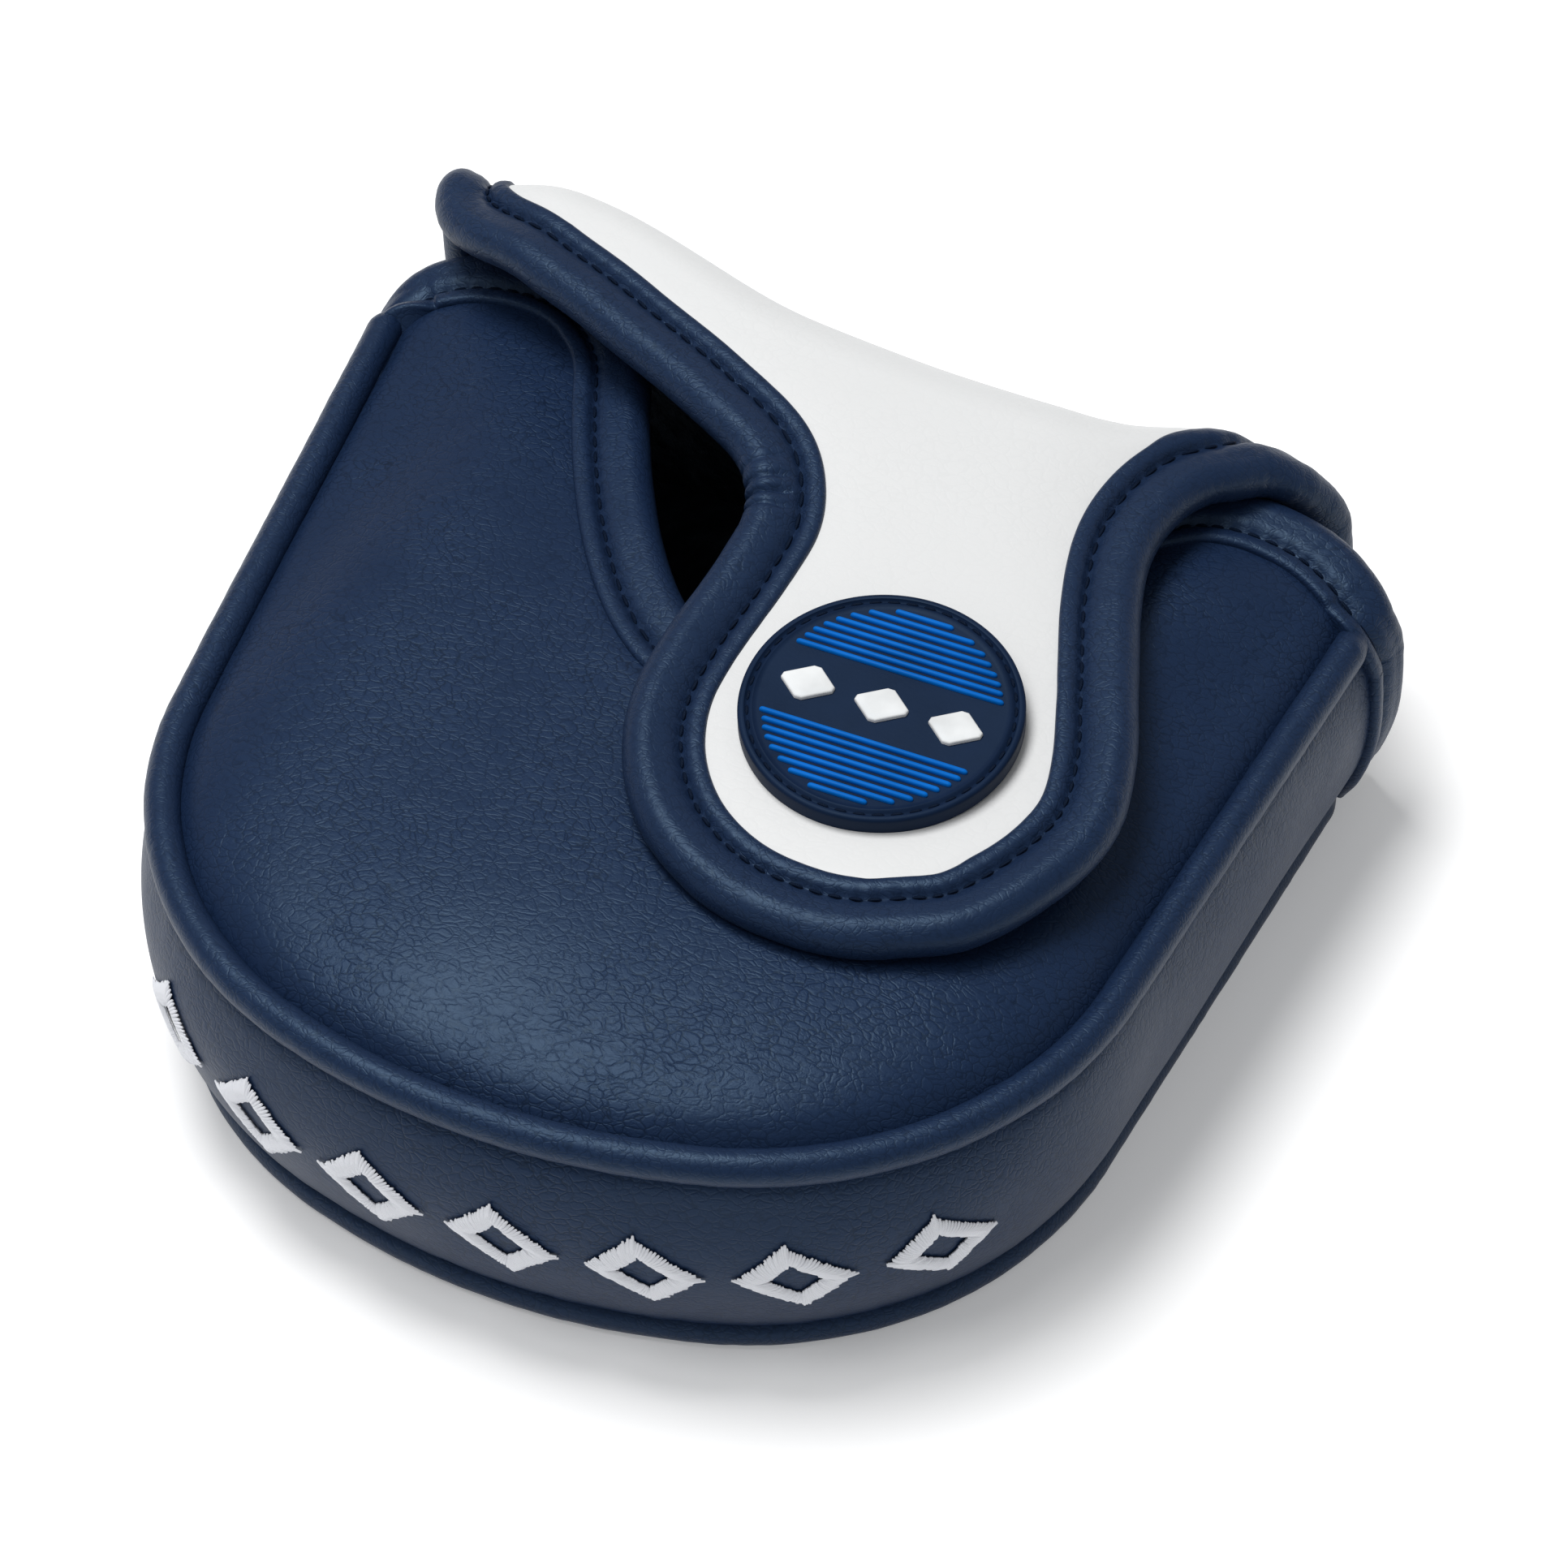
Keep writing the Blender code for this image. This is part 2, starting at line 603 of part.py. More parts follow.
# ---------------------------------------------------------------- trim
def disc(name, centre, axis_u, axis_v, axis_n, profile, look, parent=None, sides=40):
    """A turned disc from (radius, height) pairs, top centre first, bottom centre last."""
    verts, faces = [], []
    for radius, height in profile:
        for k in range(sides):
            a = 2 * math.pi * k / sides
            verts.append(centre + radius * (math.cos(a) * axis_u + math.sin(a) * axis_v)
                         + height * axis_n)
    rows = len(profile)
    for i in range(rows - 1):
        for k in range(sides):
            n = (k + 1) % sides
            faces.append((i * sides + k, i * sides + n, (i + 1) * sides + n, (i + 1) * sides + k))
    faces.append(tuple(range(sides)))
    faces.append(tuple(range((rows - 1) * sides, rows * sides)))
    return add_object(name, verts, faces, look, parent)


def badge_frame():
    tilt = math.radians(BADGE_TILT_DEG)
    u = np.array((1.0, 0.0, 0.0))
    v = np.array((0.0, math.cos(tilt), math.sin(tilt)))
    n = np.array((0.0, -math.sin(tilt), math.cos(tilt)))
    base = np.array((BADGE_X, BADGE_Y, lie_z(BADGE_X, BADGE_Y)))
    return base + n * (FLAP_HALF_T + 0.75), u, v, n


def badge_ribs(name, first_v, look, parent):
    """Raised bars across the badge, clipped to its circle and joined by a thin backing."""
    origin, u, v, n = badge_frame()
    base = origin + n * (BADGE_T + GAP - 0.6)
    reach = BADGE_R - 2.3
    sign = 1 if first_v > 0 else -1
    rows = [abs(first_v) + k * RIB_PITCH for k in range(RIB_COUNT)]
    low, high = rows[0] - RIB_W / 2, min(rows[-1] + RIB_W / 2, reach - 0.3)
    bars = [(r - RIB_W / 2, min(r + RIB_W / 2, reach - 0.25)) for r in rows]
    cuts = sorted({low, high, *[b for bar in bars for b in bar if b <= high]})
    heights = []
    for a, b in zip(cuts, cuts[1:]):
        mid = (a + b) / 2
        heights.append(RIB_H if any(x <= mid <= y for x, y in bars) else 0.0)
    outline_pts = [(math.sqrt(max(reach ** 2 - c * c, 0.05)), c) for c in cuts]
    verts, faces = [], []

    def corner(w, c, h):
        verts.append(base + u * w + v * (c * sign) + n * h)
        return len(verts) - 1

    profile = []
    for i, h in enumerate(heights):
        profile += [(outline_pts[i], h), (outline_pts[i + 1], h)]
    left = [corner(-w, c, 0.3 + h) for (w, c), h in profile]
    right = [corner(w, c, 0.3 + h) for (w, c), h in profile]
    low_l = [corner(-w, c, 0.0) for (w, c), h in profile]
    low_r = [corner(w, c, 0.0) for (w, c), h in profile]
    for i in range(len(profile) - 1):
        faces += [(left[i], left[i + 1], right[i + 1], right[i])]
        faces += [(low_l[i], low_r[i], low_r[i + 1], low_l[i + 1])]
        faces += [(left[i], low_l[i], low_l[i + 1], left[i + 1])]
        faces += [(right[i], right[i + 1], low_r[i + 1], low_r[i])]
    faces += [(left[0], right[0], low_r[0], low_l[0]), (left[-1], low_l[-1], low_r[-1], right[-1])]
    obj = add_object(name, verts, faces, look, parent)
    weld = bmesh.new()
    weld.from_mesh(obj.data)
    bmesh.ops.remove_doubles(weld, verts=weld.verts, dist=1e-6)
    bmesh.ops.dissolve_degenerate(weld, dist=1e-6, edges=weld.edges)
    bmesh.ops.recalc_face_normals(weld, faces=weld.faces)
    weld.to_mesh(obj.data)
    weld.free()
    return obj


def badge_lozenge(name, at_u, look, parent):
    origin, u, v, n = badge_frame()
    base = origin + n * (BADGE_T + GAP - 0.25) + u * at_u
    ring = [(3.6, 0.0), (0.9, 2.7), (-0.3, 2.7), (-3.6, 0.0), (-0.9, -2.7), (0.3, -2.7)]
    verts = [base + u * a + v * b + n * h for h in (0.0, 0.7) for a, b in ring]
    count = len(ring)
    faces = [tuple(range(count)), tuple(range(count, 2 * count))]
    faces += [(k, (k + 1) % count, count + (k + 1) % count, count + k) for k in range(count)]
    return add_object(name, verts, faces, look, parent)


def magnet(name, padding, centre, axes, parent=None):
    """A flat disc magnet in a round pocket cut through the padding that holds it."""
    u, v, n = axes
    cutter = disc(name + "_pocket", centre, u, v, n,
                  [(MAGNET_R + 0.4, 4.0), (MAGNET_R + 0.4, -4.0)], (FOAM, 0.9), None, 20)
    cutter.hide_render = True
    cutter.display_type = "WIRE"
    pocket = bpy.data.objects[padding].modifiers.new("pocket", "BOOLEAN")
    pocket.operation = "DIFFERENCE"
    pocket.solver = "EXACT"
    pocket.object = cutter
    half = MAGNET_T / 2
    disc(name, centre, u, v, n,
         [(MAGNET_R - 0.2, half), (MAGNET_R, half - 0.2), (MAGNET_R, 0.2 - half),
          (MAGNET_R - 0.2, -half)], (STEEL, 0.3, 1.0), parent, 20)


def side_point(arc, height, lift):
    """Point on the side band: arc length from the nose centre (left is positive), height z."""
    half = half_outline(40.0)[::-1]
    run = np.concatenate([[0], np.cumsum(np.linalg.norm(np.diff(half, axis=0), axis=1))])
    at = abs(arc)
    p = np.array([np.interp(at, run, half[:, k]) for k in (0, 1)])
    q = np.array([np.interp(at + 1.0, run, half[:, k]) for k in (0, 1)])
    r = np.array([np.interp(max(at - 1.0, 0), run, half[:, k]) for k in (0, 1)])
    d = unit(q - r)
    n = np.array((d[1], -d[0]))
    off = side_offset(side_share(p[1], height)) + lift
    flip = -1 if arc > 0 else 1
    return np.array((flip * (p[0] + n[0] * off), p[1] + n[1] * off, height))


def motif(name, arc, look):
    """An embroidered open lozenge that follows the side band."""
    corners = [(0.5, 0.0), (0.0, 0.5), (-0.5, 0.0), (0.0, -0.5)]
    ring = []
    for (a0, b0), (a1, b1) in zip(corners, corners[1:] + corners[:1]):
        ring += [(a0 + (a1 - a0) * k / 4, b0 + (b1 - b0) * k / 4) for k in range(4)]
    centre_z = MOTIF_Z
    count = len(ring)
    verts = []
    for lift in (GAP, GAP + 0.7):
        for scale in (1.0, 0.46):
            for a, b in ring:
                slant = 0.22 * b * MOTIF_H
                verts.append(side_point(arc + a * MOTIF_W * scale + slant * scale,
                                        centre_z + b * MOTIF_H * scale, lift))
    faces = []
    for k in range(count):
        j = (k + 1) % count
        low_o, low_i, high_o, high_i = 0, count, 2 * count, 3 * count
        faces += [(low_o + k, low_i + k, low_i + j, low_o + j),
                  (high_o + k, high_o + j, high_i + j, high_i + k),
                  (low_o + k, low_o + j, high_o + j, high_o + k),
                  (low_i + k, high_i + k, high_i + j, low_i + j)]
    return add_object(name, verts, faces, look)


def pouch():
    leather, foam, fleece = (NAVY, 0.42), (FOAM, 0.9), (FLEECE, 1.0)
    foam_d = SKIN_T + GAP
    lining_d = foam_d + FOAM_T + GAP
    top_layer("top_panel", 0.0, SKIN_T, SEAM_CLEAR, EDGE_BACK, leather)
    top_layer("top_padding", SKIN_T + DOME_GAP, FOAM_T, INNER_CLEAR, INNER_BACK, foam)
    top_layer("top_lining", SKIN_T + 2 * DOME_GAP + FOAM_T, LINING_T, INNER_CLEAR, INNER_BACK,
              fleece)
    side_layer("side_band", 0.0, SKIN_T, 0.09, 0.92, 47.5, leather)
    side_layer("side_padding", foam_d, FOAM_T, 0.14, 0.84, 45.8, foam)
    side_layer("side_lining", lining_d, LINING_T, 0.14, 0.84, 45.4, fleece)
    bottom_layer("bottom_panel", 0.0, 1.2, SEAM_CLEAR, HINGE_Y, leather)
    bottom_layer("bottom_padding", 1.2 + GAP, 1.6, INNER_CLEAR, 60.5, foam)
    bottom_layer("bottom_lining", 3.1 + GAP, LINING_T, INNER_CLEAR, 60.5, fleece)
    piping("top_piping", 0.0, seam_z, 44.5, leather, foam)
    piping("bottom_piping", BOTTOM_INSET, lambda y: BOTTOM_Z, 49.0, leather, foam)
    stack = SKIN_T + FOAM_T + LINING_T + 2 * DOME_GAP
    section = binding_section(BEAD_SINK + GAP, BEAD_SINK - stack - GAP)
    frames = mouth_frames()
    sweep("mouth_binding", frames, section, leather)
    sweep("mouth_binding_cord", frames, ring_section(CORD_R, 6), foam)
    x, y = MAGNET_AT
    u = unit((1.0, 0.0, top_z(x + 3, y) / 6 - top_z(x - 3, y) / 6))
    n = unit(np.cross(u, (0.0, 1.0, top_z(x, y + 3) / 6 - top_z(x, y - 3) / 6)))
    centre = np.array((x, y, top_z(x, y) + 0.05)) - n * (SKIN_T + DOME_GAP + FOAM_T / 2)
    magnet("catch_magnet", "top_padding", centre, (u, np.cross(n, u), n))


def joint_empty(name, point):
    empty = bpy.data.objects.new(name, None)
    empty.location = Vector(point) * MM
    bpy.context.scene.collection.objects.link(empty)
    bpy.context.view_layer.update()
    return empty


def flap():
    wall_body = joint_empty("flap_hinge_axis", (0.0, HINGE_Y, HINGE_Z))
    tongue_body = joint_empty("flap_fold_axis", (0.0, FOLD_AXIS_Y, FOLD_Z))
    white, leather = (WHITE, 0.38), (NAVY, 0.42)
    fleece, foam = (FLEECE, 1.0), (FOAM, 0.9)
    flap_layers("wall", wall_body, white, fleece, foam)
    flap_layers("tongue", tongue_body, white, fleece, foam)
    flap_bindings(wall_body, tongue_body, leather, foam)
    origin, u, v, n = badge_frame()
    disc("badge_base", origin, u, v, n,
         [(13.9, BADGE_T - 0.6), (14.2, BADGE_T), (BADGE_R - 1.2, BADGE_T),
          (BADGE_R - 1.1, BADGE_T - 0.4), (BADGE_R - 0.8, BADGE_T - 0.4),
          (BADGE_R - 0.7, BADGE_T), (BADGE_R - 0.2, BADGE_T), (BADGE_R, BADGE_T - 0.2),
          (BADGE_R, 0.0)], (NAVY, 0.5), tongue_body)
    badge_ribs("badge_ribs_upper", RIB_FIRST, (BLUE, 0.45), tongue_body)
    badge_ribs("badge_ribs_lower", -RIB_FIRST, (BLUE, 0.45), tongue_body)
    x, y = MAGNET_AT
    slope = (lie_z(x, y + 4) - lie_z(x, y - 4)) / 8
    v = unit((0.0, 1.0, slope))
    n = np.cross(u, v)
    skin_in = FLAP_HALF_T - FLAP_SKIN_T
    centre = np.array((x, y, lie_z(x, y))) + n * (skin_in - GAP - FLAP_FOAM_T / 2)
    magnet("flap_magnet", "flap_tongue_padding", centre, (u, v, n), tongue_body)
    for k, at_u in enumerate((-LOZENGE_PITCH, 0.0, LOZENGE_PITCH)):
        badge_lozenge("badge_lozenge_%d" % (k + 1), at_u, (WHITE, 0.45), tongue_body)


def embroidery():
    for k in range(MOTIF_COUNT):
        motif("motif_%d" % (k + 1), MOTIF_FIRST + MOTIF_PITCH * k, (WHITE, 0.55))


def main():
    clear_scene()
    pouch()
    flap()
    embroidery()


main()
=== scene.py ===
"""Looks of a padded mallet putter head cover: leather pouch, bound mouth, fold-over flap, badge.

Units: geometry is worked out in millimetres in the part's own frame (+Z up, nose towards -Y)
and scaled to metres when a mesh is made.
"""

import math

import bmesh
import bpy
import numpy as np
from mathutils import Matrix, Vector


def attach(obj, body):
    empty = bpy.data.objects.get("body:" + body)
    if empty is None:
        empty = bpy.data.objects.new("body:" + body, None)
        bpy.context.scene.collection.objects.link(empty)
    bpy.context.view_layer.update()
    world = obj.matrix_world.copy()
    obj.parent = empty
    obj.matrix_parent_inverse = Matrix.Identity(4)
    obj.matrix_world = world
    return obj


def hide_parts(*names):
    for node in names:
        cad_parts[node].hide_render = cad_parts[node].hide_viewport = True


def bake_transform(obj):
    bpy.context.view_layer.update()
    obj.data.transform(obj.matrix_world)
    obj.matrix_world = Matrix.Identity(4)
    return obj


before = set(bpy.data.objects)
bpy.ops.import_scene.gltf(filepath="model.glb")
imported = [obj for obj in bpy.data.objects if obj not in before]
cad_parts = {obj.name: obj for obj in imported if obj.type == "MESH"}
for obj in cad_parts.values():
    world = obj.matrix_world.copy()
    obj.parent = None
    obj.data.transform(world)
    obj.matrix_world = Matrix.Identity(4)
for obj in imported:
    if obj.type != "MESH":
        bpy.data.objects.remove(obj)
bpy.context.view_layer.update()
MM = 0.001

# ------------------------------------------------------------------ driving sizes
# the D of the pouch seen from above: a flared side, a corner arc and a nose arc
HALF_WIDTH, Y_OUTLINE, FLARE_DEG = 63.1, 46.0, 5.5
CORNER_R, NOSE_R, Y_NOSE = 46.0, 83.0, -60.0
# the seam between top and side, the base, and how the sheets swell between their seams
SEAM_Z, SEAM_SLOPE = 32.6, -0.023
BASE_Z, BASE_INSET, BASE_NARROW = 2.2, 2.3, 0.13
SIDE_BULGE, SIDE_END, SIDE_COLS, SIDE_LOW = 4.2, 51.5, 620, -0.02
EDGE_RISE, EDGE_REACH, CROWN_RISE, CROWN_Y = 4.2, 7.0, 3.0, 8.0
SKIN = 1.0
CLOTH_FRAMES, CLOTH_BLUR = 20, 26
# piping, and the last stretch of each, which turns in and dives under the mouth's binding
WELT_R = 2.15
END_LEFT, END_RUN, END_IN, END_DROP = 5.2, 7.5, 1.4, 2.2
# the notch of the mouth is a parabola
NOTCH_Y, NOTCH_CURVE, NOTCH_REACH, MOUTH_SKEW = 0.9, 30.0, 33.0, -0.042
# bindings, measured from the bead's centre line: groove, outer edge of the ridge, and where
# the skins and the linings end under it
BEAD_R, BEAD_OFFSET, BEAD_SINK = 2.75, 6.2, 1.6
GROOVE, RIDGE_END, SKIN_BACK, PILE_BACK = 3.9, 6.65, 5.4, 4.6
STITCH = 2.65

# the flap: half its thickness, its foot, and the height where its two meshes meet on the wall
FLAP_HALF = 1.75
FOOT_Y, FOOT_Z, SPLIT_Z = 65.0, 3.4, 16.0
TONGUE_X, TIP_Z, TONGUE_SLOPE = 21.6, 42.1, 0.078
# (x, value) stations across the flap: height of its crown, back of its wall, crown radius
CROWN_TOP = ((-62, 45.0), (-44, 48.5), (-14, 48.5), (20, 46.4), (33, 44.6),
             (41, 42.7), (45, 40.8), (49, 38.4), (53, 35.6), (60, 33.0))
WALL_BACK = ((-50, 68.2), (-11, 61.0), (8, 60.1), (29, 61.2), (47, 66.8))
CROWN_R = ((-40, 6.5), (-8, 10.5), (24, 10.5), (40, 6.5))

BADGE_X, BADGE_Y, BADGE_R, BADGE_T, BADGE_TILT_DEG = 21.5, 1.25, 16.15, 2.2, 4.6
BAR_PITCH, BAR_COUNT, BAR_FIRST = 1.13, 8, 5.25
BAR_W, BAR_REACH = 0.62, 13.65
BADGE_GROOVE, BADGE_STITCHES = 15.08, 45
LOZENGE_PITCH = 8.9
THREAD_PITCH, THREAD_R = 0.42, 0.25
MARK_Z, MARK_W, MARK_H, MARK_COUNT = 18.4, 12.6, 11.5, 7
MARK_FIRST, MARK_PITCH, MARK_SLANT = -50.0, 15.7, 0.22

NAVY = (0.0085, 0.0195, 0.053)
NAVY_LIGHT = (0.0100, 0.0225, 0.060)
# darker navy painted into the leather's crease lines as shade
NAVY_CREASE_SHADE = (0.0030, 0.0075, 0.022)
TINT = (0.50, 0.74, 1.0)
WHITE = (0.715, 0.72, 0.72)
# darker white painted into the white leather's crease lines as shade
WHITE_CREASE_SHADE = (0.60, 0.61, 0.61)
BLUE = (0.0003, 0.125, 0.50)
THREAD = (0.0024, 0.0062, 0.020)
PILE = (0.0035, 0.0045, 0.007)


# ------------------------------------------------------------------ numbers
def unit(v):
    v = np.asarray(v, float)
    return v / np.maximum(np.linalg.norm(v, axis=-1, keepdims=True), 1e-12)


def ease(t):
    t = np.clip(t, 0.0, 1.0)
    return t * t * (3 - 2 * t)


def bump(x, centre, width):
    return np.exp(-((x - centre) / width) ** 2)


def hashed(ix, iy, iz, seed):
    h = (ix * 73856093) ^ (iy * 19349663) ^ (iz * 83492791) ^ (seed * 2654435761)
    h = (h ^ (h >> 13)) * 1274126177
    h = (h ^ (h >> 16)) & 0xFFFFFF
    return h / float(0x7FFFFF) - 1.0


def noise(p, size, seed=0):
    """Smooth value noise in -1..1 at points p (..., 3), with features about `size` wide."""
    q = np.asarray(p, float) / size
    base = np.floor(q).astype(np.int64)
    f = q - base
    f = f * f * f * (f * (f * 6 - 15) + 10)
    out = 0.0
    for dx in (0, 1):
        for dy in (0, 1):
            for dz in (0, 1):
                weight = (np.where(dx, f[..., 0], 1 - f[..., 0])
                          * np.where(dy, f[..., 1], 1 - f[..., 1])
                          * np.where(dz, f[..., 2], 1 - f[..., 2]))
                out = out + weight * hashed(base[..., 0] + dx, base[..., 1] + dy,
                                            base[..., 2] + dz, seed)
    return out


def layered(p, size, seed=0, octaves=3):
    return sum(noise(p, size / 2 ** k, seed + 7 * k) / 2 ** k for k in range(octaves))


def spline(points, per_span):
    """Catmull-Rom curve through the points."""
    pts = [2 * np.array(points[0], float) - points[1]] + [np.array(p, float) for p in points]
    pts.append(2 * pts[-1] - pts[-2])
    out = []
    for i in range(1, len(pts) - 2):
        p0, p1, p2, p3 = pts[i - 1:i + 3]
        for k in range(per_span):
            t = k / per_span
            out.append(0.5 * (2 * p1 + (p2 - p0) * t + (2 * p0 - 5 * p1 + 4 * p2 - p3) * t ** 2
                              + (3 * p1 - p0 - 3 * p2 + p3) * t ** 3))
    out.append(pts[-2])
    return np.array(out)


def arc_length(points):
    steps = np.linalg.norm(np.diff(points, axis=0), axis=1)
    return np.concatenate([[0], np.cumsum(steps)])


def along(at, length, points):
    """Points of a path at these arc lengths."""
    return np.stack([np.interp(at, length, column) for column in points.T], -1)


def evenly(points, count):
    points = np.asarray(points, float)
    length = arc_length(points)
    return along(np.linspace(0, length[-1], count), length, points)


def arc(centre, radius, angles):
    return np.array(centre) + radius * np.stack([np.cos(angles), np.sin(angles)], 1)


def blur(line):
    """One smoothing pass, in place, along the first axis; both ends stay."""
    line[1:-1] = (line[:-2] + 2 * line[1:-1] + line[2:]) / 4


def blur_grid(grid):
    blur(grid)
    blur(grid.swapaxes(0, 1))


def softened(curve, passes):
    curve = np.array(curve, float)
    for _ in range(passes):
        blur(curve)
    return curve


def xyz(x, y, z=0.0):
    return np.stack(np.broadcast_arrays(x, y, z), -1)


def sharpness(points, length):
    """How sharply a path turns, per millimetre."""
    d = unit(np.gradient(points, axis=0))
    return np.linalg.norm(np.gradient(d, axis=0), axis=1) / np.maximum(np.gradient(length), 1e-6)


def station(x, table):
    """Smooth monotone interpolation in a short table of (x, value) stations."""
    x = np.asarray(x, float)
    at, value = np.array(table, float).T
    rise = np.diff(value) / np.diff(at)
    both = rise[:-1] * rise[1:]
    inner = np.where(both > 0, 2 * both / np.where(both > 0, rise[:-1] + rise[1:], 1.0), 0.0)
    slope = np.concatenate([[0.0], inner, [0.0]])
    k = np.clip(np.searchsorted(at, x) - 1, 0, len(at) - 2)
    t = np.clip((x - at[k]) / (at[k + 1] - at[k]), 0.0, 1.0)
    lean = slope[k] * t * (1 - t) ** 2 - slope[k + 1] * t * t * (1 - t)
    return (value[k] * (1 + 2 * t) * (1 - t) ** 2 + value[k + 1] * t * t * (3 - 2 * t)
            + (at[k + 1] - at[k]) * lean)


# ------------------------------------------------------------------ meshes
def placed(name, data, at=(0.0, 0.0, 0.0), towards=None):
    """A new object in the scene; a lamp or camera looks along `towards`."""
    obj = bpy.data.objects.new(name, data)
    obj.location = at
    if towards:
        obj.rotation_euler = towards.to_track_quat("-Z", "Y").to_euler()
    bpy.context.scene.collection.objects.link(obj)
    return obj


class Shape:
    """Collects grids of points into one mesh."""

    def __init__(self):
        self.points, self.faces, self.count = [], [], 0

    def add(self, grid, wrap=False, flip=False):
        grid = np.asarray(grid, float)
        rows, cols = grid.shape[:2]
        self.points.append(grid.reshape(-1, 3))
        index = np.arange(rows * cols).reshape(rows, cols) + self.count
        right = np.roll(index, -1, axis=1) if wrap else index[:, 1:]
        left = index if wrap else index[:, :-1]
        quads = np.stack([left[:-1], right[:-1], right[1:], left[1:]], -1).reshape(-1, 4)
        self.faces += (quads[:, ::-1] if flip else quads).tolist()
        self.count += rows * cols
        return index

    def fan(self, ring, flip=False):
        ring = [int(i) for i in ring]
        self.faces.append(ring[::-1] if flip else ring)

    def strip(self, first, second):
        for a, b, c, d in zip(first, first[1:], second[1:], second):
            self.faces.append([int(a), int(b), int(c), int(d)])

    def capped(self, rings):
        """A closed tube through rings of points, with a flat end on each side."""
        index = self.add(rings, wrap=True)
        self.fan(index[0], flip=True)
        self.fan(index[-1])

    def make(self, name, mat, sharp=42.0):
        mesh = bpy.data.meshes.new(name)
        mesh.from_pydata((np.concatenate(self.points) * MM).tolist(), [], self.faces)
        bm = bmesh.new()
        bm.from_mesh(mesh)
        bmesh.ops.recalc_face_normals(bm, faces=bm.faces)
        bm.to_mesh(mesh)
        bm.free()
        mesh.shade_smooth()
        mesh.set_sharp_from_angle(angle=math.radians(sharp))
        mesh.materials.append(mat)
        return placed(name, mesh)


def grounded(points):
    """Points below the table's top are pressed softly flat onto it."""
    z = points[..., 2]
    flat = 0.4 * np.exp(np.minimum(z - 0.4, 0.0) / 0.4)
    return np.concatenate([points[..., :2], np.where(z < 0.4, flat, z)[..., None]], -1)


def slab(name, outer, inner, mat):
    """A closed sheet between two grids of the same size."""
    shape = Shape()
    a, b = shape.add(grounded(outer)), shape.add(grounded(inner), flip=True)
    shape.strip(a[0], b[0])
    shape.strip(b[-1], a[-1])
    shape.strip(b[:, 0], a[:, 0])
    shape.strip(a[:, -1], b[:, -1])
    return shape.make(name, mat)


def tube(name, rings, mat):
    shape = Shape()
    shape.capped(grounded(rings))
    return shape.make(name, mat)


def capsules(name, starts, ends, ups, radius):
    """Short dark threads, each from a start to an end point, flattened along its up axis."""
    shape = Shape()
    around = np.linspace(0, 2 * np.pi, 8, endpoint=False)
    for start, end, up in zip(starts, ends, ups):
        axis = unit(end - start)
        side = unit(np.cross(axis, up))
        top = np.cross(side, axis)
        rows = []
        for t in np.linspace(0, 1, 7):
            swell = math.sqrt(max(1 - (2 * t - 1) ** 4, 0.03))
            centre = start + (end - start) * t + top * (0.35 * radius * math.sin(math.pi * t))
            rows.append(centre + radius * swell * (np.outer(np.cos(around), side)
                                                   + 0.75 * np.outer(np.sin(around), top)))
        shape.capped(np.array(rows))
    return shape.make(name, DARK_THREAD)


# ------------------------------------------------------------------ materials
def node(tree, kind, **inputs):
    made = tree.nodes.new(kind)
    for key, value in inputs.items():
        made.inputs[key.replace("_", " ")].default_value = value
    return made


def ramp(tree, source, *stops):
    made = tree.nodes.new("ShaderNodeValToRGB")
    while len(made.color_ramp.elements) < len(stops):
        made.color_ramp.elements.new(0.5)
    for element, (at, colour) in zip(made.color_ramp.elements, stops):
        element.position = at
        element.color = (*colour, 1.0)
    tree.links.new(source, made.inputs["Fac"])
    return made.outputs["Color"]


def grey(v):
    return (v, v, v)


def maths(tree, operation, *values):
    """A Math node; each value is a socket or a number."""
    made = tree.nodes.new("ShaderNodeMath")
    made.operation = operation
    for socket, value in zip(made.inputs, values):
        if isinstance(value, float):
            socket.default_value = value
        else:
            tree.links.new(value, socket)
    return made.outputs["Value"]


def texture(tree, kind, vector, output, **inputs):
    """One output of a procedural texture that is read at a vector socket."""
    made = node(tree, "ShaderNodeTex" + kind, **inputs)
    tree.links.new(vector, made.inputs["Vector"])
    return made.outputs[output]


def start_material(name, **values):
    """A new material, its tree, its shader with these values, and the object's coordinates."""
    mat = bpy.data.materials.new(name)
    mat.use_nodes = True
    tree = mat.node_tree
    shader = tree.nodes["Principled BSDF"]
    for key, value in values.items():
        shader.inputs[key.replace("_", " ")].default_value = value
    return mat, tree, shader, tree.nodes.new("ShaderNodeTexCoord").outputs["Object"]


def relief(tree, shader, height, strength, depth_mm):
    made = node(tree, "ShaderNodeBump", Strength=strength, Distance=depth_mm * MM)
    tree.links.new(height, made.inputs["Height"])
    tree.links.new(made.outputs["Normal"], shader.inputs["Normal"])


def crease_lines(tree, vector, cell_mm, width, round_off, broken):
    """Broken lines between cells, 0 in a line and 1 away: thin ones for the painted shade in the
    creases, wide for relief.
    """
    cells = node(tree, "ShaderNodeTexVoronoi", Scale=1000.0 / cell_mm)
    cells.feature = "DISTANCE_TO_EDGE"
    tree.links.new(vector, cells.inputs["Vector"])
    gaps = texture(tree, "Noise", vector, "Fac", Scale=700.0 / cell_mm, Detail=2.0)
    open_up = ramp(tree, gaps, (broken - 0.08, grey(0)), (broken + 0.1, grey(1)))
    return [maths(tree, "MAXIMUM", ramp(tree, cells.outputs["Distance"], (0.0, grey(0)),
                                        (reach, grey(1))), open_up)
            for reach in (width, round_off)]


